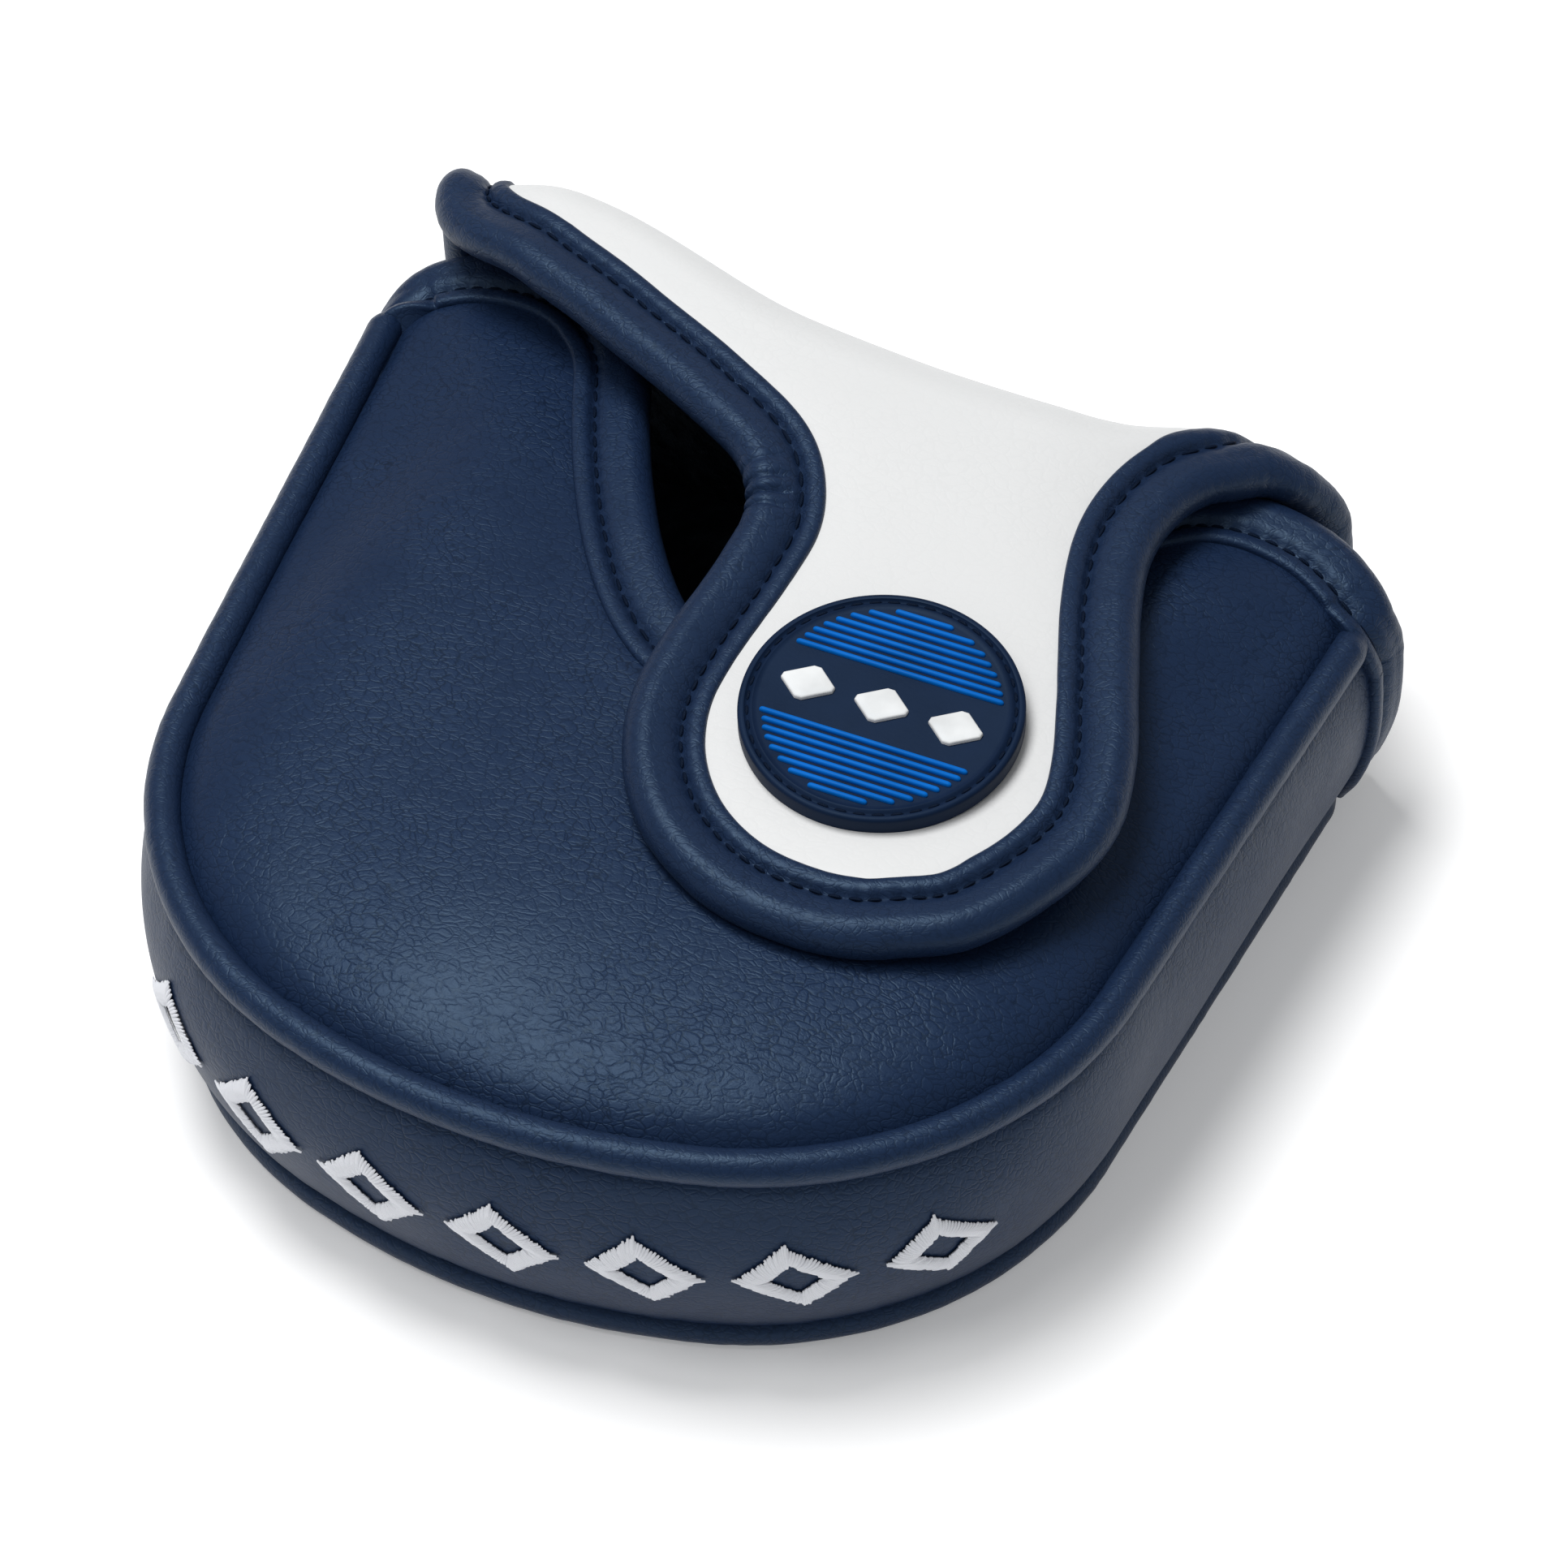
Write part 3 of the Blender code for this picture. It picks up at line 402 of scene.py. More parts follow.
def leather(name, tones, rough, cell_mm, depth_mm, crease_shading, spec, tint=TINT):
    """Coated leather: two nets of fine creases with painted shade in their lines, pores, and slow
    changes of tone and gloss.
    """
    base, crease_shade_colour, light = tones
    mat, tree, shader, at = start_material(name, Specular_IOR_Level=spec,
                                           Specular_Tint=(*tint, 1.0))
    link = tree.links.new
    place = node(tree, "ShaderNodeMapping", Scale=(0.70, 1.0, 1.0))
    link(at, place.inputs["Vector"])
    warp = texture(tree, "Noise", place.outputs["Vector"], "Color", Scale=330.0, Detail=3.0)
    bend = tree.nodes.new("ShaderNodeVectorMath")
    bend.operation = "MULTIPLY_ADD"
    bend.inputs[1].default_value = (0.0024,) * 3
    link(warp, bend.inputs[0])
    link(place.outputs["Vector"], bend.inputs[2])
    bent = bend.outputs["Vector"]
    coarse, coarse_round = crease_lines(tree, bent, cell_mm, 0.07, 0.15, 0.60)
    fine, fine_round = crease_lines(tree, bent, cell_mm * 0.5, 0.09, 0.20, 0.52)
    lines = maths(tree, "MULTIPLY", coarse, maths(tree, "MULTIPLY_ADD", fine, 0.5, 0.5))
    rounded = maths(tree, "MULTIPLY", coarse_round,
                    maths(tree, "MULTIPLY_ADD", fine_round, 0.4, 0.6))
    # the creases fade in and out over the hide
    patches = texture(tree, "Noise", at, "Fac", Scale=55.0, Detail=3.0)
    fade = ramp(tree, patches, (0.36, grey(0.55)), (0.58, grey(1)))
    net = node(tree, "ShaderNodeMix", A=1.0)
    link(fade, net.inputs["Factor"])
    link(lines, net.inputs["B"])
    pores = texture(tree, "Noise", at, "Fac", Scale=3400.0, Detail=2.0)
    height = maths(tree, "MULTIPLY_ADD", pores, 0.22, maths(tree, "MULTIPLY", rounded, fade))
    relief(tree, shader, height, 0.9, depth_mm)
    # painted shade: the thin crease lines pull the colour towards a darker crease tone
    dark = tree.nodes.new("ShaderNodeMix")
    dark.data_type = "RGBA"
    keep = maths(tree, "MULTIPLY_ADD", net.outputs["Result"], crease_shading, 1.0 - crease_shading)
    link(keep, dark.inputs["Factor"])
    dark.inputs[6].default_value = (*crease_shade_colour, 1.0)
    link(ramp(tree, patches, (0.34, base), (0.66, light)), dark.inputs[7])
    link(dark.outputs[2], shader.inputs["Base Color"])
    gloss = ramp(tree, patches, (0.3, grey(rough - 0.03)), (0.7, grey(rough + 0.05)))
    link(gloss, shader.inputs["Roughness"])
    return mat


def thread(name, base, rough, spec, scale, sheen):
    """Twisted sewing thread: fine ply lines with painted shade in their grooves, and a soft sheen.
    """
    mat, tree, shader, at = start_material(name, Roughness=rough, Sheen_Weight=sheen,
                                           Specular_IOR_Level=spec, Specular_Tint=(*TINT, 1.0))
    ply = node(tree, "ShaderNodeTexWave", Scale=scale, Distortion=1.5)
    ply.bands_direction = "DIAGONAL"
    tree.links.new(at, ply.inputs["Vector"])
    # painted shade: the tone darkens where the ply relief is low
    tone = ramp(tree, ply.outputs["Fac"], (0.0, [c * 0.72 for c in base]), (0.6, base))
    tree.links.new(tone, shader.inputs["Base Color"])
    relief(tree, shader, ply.outputs["Fac"], 0.5, 0.06)
    return mat


def fleece(name, base):
    """Short dark pile: clumped tufts with painted highlight on their tops and painted shade between
    them.
    """
    mat, tree, shader, at = start_material(
        name, Roughness=0.95, Specular_IOR_Level=0.15, Sheen_Weight=0.25,
        Sheen_Tint=(*TINT, 1.0), Sheen_Roughness=0.6)
    tufts = texture(tree, "Noise", at, "Fac", Scale=900.0, Detail=5.0, Roughness=0.7)
    clumps = texture(tree, "Voronoi", at, "Distance", Scale=420.0)
    pile = maths(tree, "MULTIPLY", tufts, clumps)
    # painted light: the tone follows the pile height, darker in the hollows and lighter on the
    # tufts
    tone = ramp(tree, pile, (0.1, [c * 0.5 for c in base]), (0.45, base),
                (0.8, [c * 2.6 for c in base]))
    tree.links.new(tone, shader.inputs["Base Color"])
    relief(tree, shader, pile, 0.9, 0.5)
    return mat


def moulded(name, base, rough, spec):
    """Soft moulded rubber: matt, with a fine even grain and a little dust in its tone."""
    mat, tree, shader, at = start_material(name, Specular_IOR_Level=spec,
                                           Specular_Tint=(*TINT, 1.0))
    slow = texture(tree, "Noise", at, "Fac", Scale=160.0, Detail=3.0)
    dusty = [min(c * 1.12 + 0.0015, 1) for c in base]
    tone = ramp(tree, slow, (0.3, [c * 0.86 for c in base]), (0.7, dusty))
    tree.links.new(tone, shader.inputs["Base Color"])
    gloss = ramp(tree, slow, (0.3, grey(rough - 0.05)), (0.7, grey(rough + 0.07)))
    tree.links.new(gloss, shader.inputs["Roughness"])
    grain = texture(tree, "Noise", at, "Fac", Scale=2400.0, Detail=3.0)
    relief(tree, shader, grain, 0.25, 0.05)
    return mat


def plated(name):
    """Nickel plating with a slightly uneven gloss."""
    mat, tree, shader, at = start_material(name, Base_Color=(0.55, 0.55, 0.56, 1.0), Metallic=1.0)
    grain = texture(tree, "Noise", at, "Fac", Scale=900.0, Detail=4.0)
    gloss = ramp(tree, grain, (0.3, grey(0.22)), (0.7, grey(0.38)))
    tree.links.new(gloss, shader.inputs["Roughness"])
    return mat


HIDE = (NAVY, NAVY_CREASE_SHADE, NAVY_LIGHT)
LEATHER = leather("navy_leather", HIDE, 0.41, 1.0, 0.050, 0.9, 0.25)
WELT = leather("navy_leather_fine", HIDE, 0.42, 0.85, 0.040, 0.75, 0.32)
SNOW = leather("white_leather", (WHITE, WHITE_CREASE_SHADE, WHITE), 0.45, 1.3, 0.015, 0.16, 0.3, grey(1))
DARK_THREAD = thread("navy_thread", THREAD, 0.6, 0.12, 2600.0, 0.0)
WHITE_THREAD = thread("white_thread", (0.92, 0.93, 0.98), 0.5, 0.3, 3200.0, 0.2)
FLEECE = fleece("dark_fleece", PILE)
RUBBER = moulded("navy_rubber", (0.0042, 0.0125, 0.038), 0.5, 0.14)
RUBBER_BLUE = moulded("blue_rubber", BLUE, 0.42, 0.10)
RUBBER_WHITE = moulded("white_rubber", (0.76, 0.77, 0.77), 0.45, 0.2)
NICKEL = plated("nickel_plate")


# ------------------------------------------------------------------ pouch surfaces
def half_outline(y_end, inset=0.0, fine=120):
    """Right half of the D from the mouth to the nose: a flared side, a corner arc, a nose arc."""
    lean = math.radians(FLARE_DEG)
    inward = np.array([-math.cos(lean), math.sin(lean)])
    down = np.array([-math.sin(lean), -math.cos(lean)])
    start = np.array([HALF_WIDTH, Y_OUTLINE]) + inset * inward
    corner_r, nose_r = CORNER_R - inset, NOSE_R - inset
    nose_c = np.array([0.0, Y_NOSE + NOSE_R])
    rel = start + corner_r * inward - nose_c
    mid = rel @ down
    run = -mid + math.sqrt(max(mid * mid - rel @ rel + (nose_r - corner_r) ** 2, 0.0))
    corner_c = start + run * down + corner_r * inward
    first = start + down * (start[1] - y_end) / math.cos(lean)
    last = start + run * down
    a0 = math.atan2(-inward[1], -inward[0])
    a1 = math.atan2(*(corner_c - nose_c)[::-1])
    return np.concatenate([np.linspace(first, last, fine, endpoint=False),
                           arc(corner_c, corner_r, np.linspace(a0, a1, fine, endpoint=False)),
                           arc(nose_c, nose_r, np.linspace(a1, -math.pi / 2, fine))])


def outline(y_end, inset, count):
    """The whole open D from the right mouth end round the nose to the left, in even steps."""
    half = half_outline(y_end, inset)
    full = np.concatenate([half, (half[::-1] * [-1, 1])[1:]])
    return evenly(full, count)


RIM = outline(70.0, 0.0, 200)


def rim_distance(x, y):
    x, y = np.asarray(x, float), np.asarray(y, float)
    best = np.full(x.shape, 1e9)
    for a, b in zip(RIM[:-1], RIM[1:]):
        d = b - a
        t = np.clip(((x - a[0]) * d[0] + (y - a[1]) * d[1]) / (d @ d), 0, 1)
        best = np.minimum(best, (x - a[0] - t * d[0]) ** 2 + (y - a[1] - t * d[1]) ** 2)
    return np.sqrt(best)


def seam_z(y):
    return SEAM_Z + SEAM_SLOPE * np.asarray(y, float)


def top_z(x, y):
    edge = EDGE_RISE * (1 - np.exp(-rim_distance(x, y) / EDGE_REACH))
    crown = CROWN_RISE * (1 - (x / HALF_WIDTH) ** 2) * (1 - ((y - CROWN_Y) / 68.0) ** 2)
    return seam_z(y) + edge + np.maximum(crown, 0.0)


def side_offset(t):
    """How far the skin of the side lies outside the top outline, at height share t."""
    return -BASE_INSET * (1 - t) + SIDE_BULGE * np.sin(np.pi * np.clip(t, 0, 1)) ** 0.8


def side_share(y, z):
    return (z - BASE_Z) / (seam_z(y) - BASE_Z)


def outward(path):
    run = np.gradient(path, axis=0)
    n = unit(np.stack([-run[:, 1], run[:, 0]], 1))
    return np.where((n * path).sum(1, keepdims=True) < 0, -n, n)


# ------------------------------------------------------------------ mouth binding path
def mouth_path_top():
    """Bead centre line seen from above: notch, ear and shoulder of the right half."""
    notch = []
    for x in np.linspace(0.0, NOTCH_REACH, 9):
        n = unit((-2 * x / NOTCH_CURVE, 1.0))
        notch.append(np.array((x, NOTCH_Y + x * x / NOTCH_CURVE)) + BEAD_OFFSET * n)
    ear = [np.array(p, float) for p in ((31.5, 49.2), (35.8, 54.4), (40.8, 57.8), (47.5, 59.3),
                                        (54.8, 58.6), (60.6, 56.0))]
    return notch + ear


def mouth_frames(count):
    """Arrays of point, u axis (into the panel) and v axis (outwards) along the mouth."""
    top = [(p[0], p[1], float(top_z(p[0], p[1])) - BEAD_SINK) for p in mouth_path_top()]
    side = []
    for y, z in ((53.2, 28.8), (51.4, 23.0), (50.9, 16.5), (51.4, 10.0), (52.6, 5.6)):
        x = HALF_WIDTH + math.tan(math.radians(FLARE_DEG)) * (y - Y_OUTLINE)
        side.append((x + float(side_offset(side_share(y, z))) - BEAD_SINK, y, z))
    half = spline(top + side, 24)
    full = evenly(np.concatenate([(half[::-1] * [-1, 1, 1])[:-1], half]), count)
    full = softened(full, 6)
    full[:, 1] += MOUTH_SKEW * full[:, 0] * ease((full[:, 2] - 25) / 7)
    d = unit(np.gradient(full, axis=0))
    # over the top the panel side follows the slope of the top; down the sides it is forward
    drop = np.where(np.abs(full[:, 0]) > 55, ease((33.8 - full[:, 2]) / 5.0), 0.0)
    plan = unit(np.stack([d[:, 1], -d[:, 0]], 1) + 1e-9)
    ahead = full[:, :2] + 5 * plan
    slope = (top_z(*ahead.T) - top_z(*full[:, :2].T)) / 5 * (drop < 0.5)
    into = xyz(*plan.T, slope) * (1 - drop)[:, None] - [0, 1, 0] * drop[:, None]
    u = unit(into - d * (into * d).sum(1, keepdims=True))
    for _ in range(4):
        u[1:-1] = unit(u[:-2] + 2 * u[1:-1] + u[2:])
    u = unit(u - d * (u * d).sum(1, keepdims=True))
    v = unit(np.cross(u, d))
    away = xyz(np.sign(full[:, 0]) * drop, 0.0, 1 - drop)
    v = np.where((v * away).sum(1, keepdims=True) > 0, v, -v)
    return full, u, v


MOUTH = mouth_frames(900)


def binding_section(top, under_v, under_reach):
    """Closed outline of a bound edge: bead, stitched groove, folded ridge, under flange."""
    fold = [(6.0, under_v + 0.5), (RIDGE_END, top - 0.5), (RIDGE_END + 0.02, top + 0.02),
            (RIDGE_END - 0.12, top + 0.34), (6.25, top + 0.54), (5.7, top + 0.60),
            (5.15, top + 0.56), (4.70, top + 0.38), (4.38, top + 0.02), (4.12, top - 0.30),
            (GROOVE, top - 0.40), (3.68, top - 0.26), (3.35, top + 0.14), (2.9, top + 0.54),
            (2.05, 2.28 + 0.45 * (top - 1.25))]
    under = [(1.9, min(under_v - 0.15, -1.9)), (2.6, under_v - 0.05), (3.6, under_v - 0.3),
             (under_reach - 0.3, under_v - 0.3), (under_reach, under_v)]
    return np.concatenate([fold, arc((0, 0), BEAD_R, np.radians(np.linspace(66, 300, 26))), under])


def pucker(section, length, curvature, seed, rings, creases=()):
    """Small moves of a swept section along its outward direction: stitch pulls and wrinkles."""
    u = section[:, 0]
    groove = bump(u, GROOVE, 0.62) * (section[:, 1] > 0)
    ridge = bump(u, 5.4, 0.9) * (section[:, 1] > 0)
    bead = ((u < 2.9) & (section[:, 1] > -2.4)).astype(float)
    phase = np.cos(2 * np.pi * length / STITCH)[:, None]
    move = -0.08 * phase * groove - 0.012 * phase * ridge
    move = move + 0.014 * noise(rings, 1.5, seed) * (bead + 0.5 * ridge)
    move = move + 0.05 * noise(rings, 7.0, seed + 3) * (bead + ridge)
    # cross wrinkles gather where the strip turns the short way round
    gather = np.clip(np.abs(curvature)[:, None] * 9.0, 0, 1)
    stripe = noise(xyz(length, 0.0), 0.9, seed + 5)[:, None]
    move = move + 0.045 * gather * stripe * (bead + groove)
    for at, width, depth in creases:
        move = move - depth * bump(length, at, width)[:, None] * bead
    return move


NO_MOVE = np.zeros((1, 1))


def pushed(section, move):
    """Both coordinates of a section at every ring, each point moved outwards by `move`."""
    around = np.roll(section, -1, axis=0) - np.roll(section, 1, axis=0)
    out = unit(np.stack([around[:, 1], -around[:, 0]], 1))
    if (out * (section - section.mean(0))).sum() < 0:
        out = -out
    return section[:, 0] + move * out[:, 0], section[:, 1] + move * out[:, 1]


def swept(points, u, v, section, move):
    """Rings of a section carried along a path."""
    a, b = pushed(section, move)
    return points[:, None] + a[..., None] * u[:, None] + b[..., None] * v[:, None]


def stitches(name, points, u, v, length, at_v, back=GROOVE):
    """Threads lying in the groove of a binding, one per stitch."""
    rng = np.random.default_rng(11)
    starts, ends, ups = [], [], []
    for k in range(int((length[-1] - 2.0) / STITCH)):
        middle = 1.0 + (k + 0.5) * STITCH + rng.uniform(-0.08, 0.08)
        tilt = rng.uniform(-0.07, 0.07)
        for side, tips in ((-1, starts), (1, ends)):
            at = middle + side * 0.36 * STITCH
            p, uu, vv = (along(at, length, each) for each in (points, u, v))
            tips.append(p + (back + side * tilt) * uu + at_v * vv)
            if side < 0:
                ups.append(vv)
    return capsules(name, starts, ends, ups, 0.21)


# ------------------------------------------------------------------ padded sheets
def relax(fine, skip_rows, skip_cols, pressure, cap):
    """How far Cloth with this pressure moves each point of a sheet that is sewn down all round.

    It runs on a coarse copy of the grid, and only the broad swell is kept, capped.
    """
    grid = fine[::skip_rows, ::skip_cols]
    pinned = np.ones(grid.shape[:2], bool)
    pinned[1:-1, 1:-1] = False
    shape = Shape()
    shape.add(grid)
    obj = shape.make("cloth_trial", None, 180.0)
    group = obj.vertex_groups.new(name="pin")
    group.add([int(i) for i in np.flatnonzero(pinned.reshape(-1))], 1.0, "REPLACE")
    cloth = obj.modifiers.new("Cloth", "CLOTH")
    cfg = cloth.settings
    cfg.quality = 6
    cfg.mass = 0.3
    cfg.tension_stiffness = cfg.compression_stiffness = 20.0
    cfg.shear_stiffness = 12.0
    cfg.bending_stiffness = 6.0
    cfg.vertex_group_mass = "pin"
    cfg.use_pressure = True
    cfg.uniform_pressure_force = pressure
    cfg.effector_weights.gravity = 0.0
    cfg.shrink_min = -0.012
    cloth.collision_settings.use_collision = False
    scene = bpy.context.scene
    for at in range(1, CLOTH_FRAMES + 1):
        scene.frame_set(at)
    graph = bpy.context.evaluated_depsgraph_get()
    result = obj.evaluated_get(graph).to_mesh()
    moved = np.empty(len(result.vertices) * 3)
    result.vertices.foreach_get("co", moved)
    moved = moved.reshape(grid.shape) / MM - grid
    scene.frame_set(1)
    bpy.data.objects.remove(obj)
    for _ in range(CLOTH_BLUR):
        blur_grid(moved)
        moved[pinned] = 0.0
    size = np.linalg.norm(moved, axis=-1, keepdims=True)
    moved = moved * np.minimum(1.0, cap / np.maximum(size, 1e-9))
    for axis in (0, 1):
        moved = stretched(moved, axis, fine.shape[axis])
    for _ in range(6):
        blur_grid(moved)
    return moved


def stretched(grid, axis, count):
    """The grid with `count` evenly spread samples along one axis, straight between its own."""
    at = np.linspace(0, grid.shape[axis] - 1, count)
    low = np.minimum(at.astype(int), grid.shape[axis] - 2)
    part = (at - low).reshape([-1 if k == axis else 1 for k in range(grid.ndim)])
    first = np.take(grid, low, axis)
    return first + (np.take(grid, low + 1, axis) - first) * part


def top_plan(rows, cols, back, clear):
    """Plan grid of the top: row 0 along the mouth, last row along the rim."""
    points, u, v = MOUTH
    keep = v[:, 2] > 0.55
    edge = (points[:, :2] + back * unit(u[:, :2]))[keep]
    edge = evenly(softened(edge, 8), cols)
    rim = outline(50.5, clear, cols)[::-1]
    if edge[0, 0] > 0:
        edge = edge[::-1]
    share = np.linspace(0, 1, rows)[:, None, None]
    share = share - 0.05 * np.sin(2 * np.pi * share)
    return edge * (1 - share) + rim * share


def top_pieces():
    plan = top_plan(230, 420, SKIN_BACK, 1.2)
    x, y = plan[..., 0], plan[..., 1]
    flat = xyz(x, y)
    rim = rim_distance(x, y)
    z = top_z(x, y)
    # the skin rolls down into the welt seam and, more gently, under the mouth ridge
    z -= 2.4 * np.exp(-(rim / 2.7) ** 2)
    mouth = np.linalg.norm(plan - plan[:1], axis=-1)
    z -= 0.35 * np.exp(-(mouth / 2.2) ** 2)
    z += 0.16 * layered(flat, 26.0, 21, 2)
    ripple = noise(flat * 0.55, 1.5, 5)
    z += 0.10 * ripple * (np.exp(-rim / 3.5) + 0.8 * np.exp(-mouth / 3.0))
    outer = xyz(x, y, z)
    swell = relax(outer, 6, 6, 3.0, 1.2)
    outer[..., 2] += swell[..., 2] * (1 - np.exp(-(np.minimum(rim, mouth) / 5.0) ** 2))
    top = slab("top_cushion", outer, outer - [0.0, 0.0, SKIN], LEATHER)
    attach(top, "pouch")
    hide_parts("top_panel", "top_padding")

    plan = top_plan(90, 170, PILE_BACK, 4.4)
    x, y = plan[..., 0], plan[..., 1]
    low = top_z(x, y) - 4.9
    tuft = 0.28 * layered(xyz(x, y), 2.2, 40, 3)
    pile = slab("top_fleece", xyz(x, y, low), xyz(x, y, low - 0.8 + tuft), FLEECE)
    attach(pile, "pouch")
    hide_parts("top_lining")


def side_grid(cols, rows, y_end, t0, t1, depth):
    path = outline(y_end, 0.0, cols)
    n = outward(path)
    t = np.linspace(t0, t1, rows)
    off = side_offset(t)[:, None] - depth
    z = BASE_Z + t[:, None] * (seam_z(path[:, 1])[None] - BASE_Z)
    grid = xyz(path[:, 0] + n[:, 0] * off, path[:, 1] + n[:, 1] * off, z)
    return grid, np.broadcast_to(xyz(n[:, 0], n[:, 1]), grid.shape), t


def side_move(run, share):
    """Swell and ripple of the side band at an arc length from the nose centre."""
    rows, cols = SIDE_MOVES.shape
    col = np.clip((0.5 + run / SIDE_RUN) * (cols - 1), 0, cols - 1.001)
    row = np.clip((share - SIDE_LOW) / (1 - SIDE_LOW) * (rows - 1), 0, rows - 1.001)
    i, j = int(row), int(col)
    low = SIDE_MOVES[i, j] * (1 - col + j) + SIDE_MOVES[i, j + 1] * (col - j)
    high = SIDE_MOVES[i + 1, j] * (1 - col + j) + SIDE_MOVES[i + 1, j + 1] * (col - j)
    return low * (1 - row + i) + high * (row - i)


def side_pieces():
    grid, n, t = side_grid(SIDE_COLS, 84, SIDE_END, SIDE_LOW, 1.0, 0.0)
    seam = np.minimum(t, 1 - t)[:, None]
    wave = 0.22 * layered(grid * [0.6, 0.6, 1.0], 17.0, 61, 2) * ease(seam / 0.2)
    tuck = 0.16 * noise(grid * [1.0, 1.0, 0.22], 2.1, 66) * np.exp(-seam / 0.09)
    under = -1.1 * np.exp(-((1 - t) / 0.06) ** 2)[:, None]
    moves = wave + tuck + under
    swell = relax(grid + n * moves[..., None], 6, 8, -3.0, 0.8)
    moves += (swell * n).sum(-1) * ease(seam / 0.15)
    grid = grid + n * moves[..., None]
    band = slab("side_cushion", grid, grid - n * SKIN, LEATHER)
    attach(band, "pouch")
    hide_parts("side_band", "side_padding")

    grid, n, t = side_grid(240, 40, 50.0, 0.05, 0.93, 4.4)
    tuft = 0.26 * layered(grid, 2.2, 43, 3)[..., None]
    pile = slab("side_fleece", grid, grid - n * (0.8 + tuft), FLEECE)
    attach(pile, "pouch")
    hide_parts("side_lining")
    return moves


def base_plan(rows, cols, inset, y_end):
    rim = outline(y_end, inset, cols)
    share = np.linspace(0, 1, rows)[:, None, None]
    plan = np.linspace(rim[0], rim[-1], cols) * (1 - share) + rim * share
    # behind the mouth the base narrows to the foot of the flap
    plan[..., 0] *= 1 - BASE_NARROW * ease((plan[..., 1] - 54.0) / 13.0)
    return plan


def base_pieces():
    plan = base_plan(70, 220, BASE_INSET + 1.0, 67.0)
    x, y = plan[..., 0], plan[..., 1]
    rim = rim_distance(x, y) - BASE_INSET
    low = 1.3 * np.exp(-(rim / 2.2) ** 2) * ease((63.0 - y) / 8.0)
    skin = slab("base_cushion", xyz(x, y, low + 1.2), xyz(x, y, low), LEATHER)
    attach(skin, "pouch")
    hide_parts("bottom_panel", "bottom_padding")
    plan = base_plan(80, 200, BASE_INSET + 4.6, 62.5)
    x, y = plan[..., 0], plan[..., 1]
    tuft = 0.28 * layered(xyz(x, y), 2.2, 47, 3)
    pile = slab("base_fleece", xyz(x, y, 4.1 + tuft), xyz(x, y, 3.0), FLEECE)
    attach(pile, "pouch")
    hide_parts("bottom_lining")


def welt(name, inset, height, y_end, nodes, seed):
    """Covered piping: a leather tube with fine slanting creases."""
    # the mouth is cut at a slant, so the left end runs further back than the right one
    path = outline(y_end + END_LEFT, inset, 900)
    path = evenly(path[(path[:, 0] < 0) | (path[:, 1] < y_end)], 900)
    n = outward(path)
    points = xyz(path[:, 0], path[:, 1], height(path[:, 1]))
    u = xyz(-n[:, 0], -n[:, 1])
    v = xyz(0 * path[:, 0], 0.0, 1.0)
    angles = np.linspace(0, 2 * np.pi, 22, endpoint=False)
    section = arc((0, 0), WELT_R, angles)
    length = arc_length(points)
    # both ends turn inwards and dive under the mouth's binding
    ends = ease(1 - np.minimum(length, length[-1] - length) / END_RUN)[:, None]
    points = points + ends * (END_IN * u - END_DROP * v)
    rings = swept(points, u, v, section, NO_MOVE)
    stripe = noise(xyz(length[:, None] + 1.6 * angles, 3.0), 1.3, seed)
    move = 0.03 * stripe + 0.05 * noise(rings, 6.0, seed + 2) - 0.7 * ends
    rings = swept(points, u, v, section, move)
    obj = tube(name, rings, WELT)
    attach(obj, "pouch")
    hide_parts(*nodes)


def mouth_pieces():
    points, u, v = MOUTH
    length = arc_length(points)
    section = binding_section(BEAD_SINK, BEAD_SINK - 5.4, 4.6)
    rest = swept(points, u, v, section, NO_MOVE)
    move = pucker(section, length, sharpness(points, length), 71, rest)
    rings = swept(points, u, v, section, move)
    edge = tube("mouth_edge", rings, WELT)
    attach(edge, "pouch")
    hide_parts("mouth_binding", "mouth_binding_cord")
    sewn = stitches("mouth_stitches", points, u, v, length, BEAD_SINK - 0.24)
    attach(sewn, "pouch")


# ------------------------------------------------------------------ flap surface
def flap_profile(x):
    """Mid-line of the flap at this x: wall y, crown centre y and z, crown radius, top z."""
    radius = station(x, CROWN_R) - FLAP_HALF
    back = station(x, WALL_BACK) - FLAP_HALF
    top = station(x, CROWN_TOP) - FLAP_HALF
    return back, back - radius, top - radius, radius, top


def lie_z(x, y):
    """Height of the flap's mid-surface forward of its crown."""
    _, yc, _, _, top = flap_profile(x)
    rest = TIP_Z + 2.9 * (1 - np.exp(-np.maximum(y + 27.0, 0) * TONGUE_SLOPE / 2.9 * 1.25))
    return rest + (top - rest) * ease((y - 8.0) / (yc - 8.0))


def flap_mid(x, s):
    """Point of the flap's mid-surface; s runs up the wall, over the crown, then forward."""
    x, s = np.asarray(x, float), np.asarray(s, float)
    back, yc, zc, radius, _ = flap_profile(x)
    share = ease((s - FOOT_Z) / np.maximum(zc - FOOT_Z, 1))
    wall_y = FOOT_Y + (back - FOOT_Y) * share
    turn = np.clip((s - zc) / radius, 0, np.pi / 2)
    lie_y = yc - (s - zc - radius * np.pi / 2)
    over = s > zc + radius * np.pi / 2
    y = np.where(s <= zc, wall_y, np.where(over, lie_y, yc + radius * np.cos(turn)))
    z = np.where(s <= zc, s, np.where(over, lie_z(x, lie_y), zc + radius * np.sin(turn)))
    return np.stack([x, y, z], -1)


def flap_normal(x, s):
    ds = flap_mid(x, s + 0.5) - flap_mid(x, s - 0.5)
    dx = flap_mid(x + 0.5, s) - flap_mid(x - 0.5, s)
    n = unit(np.cross(dx, ds))
    return np.where((n[..., 1] + n[..., 2])[..., None] < 0, -n, n)


def flap_s(x, y):
    _, yc, zc, radius, _ = flap_profile(x)
    return float(zc + radius * np.pi / 2 + yc - y)


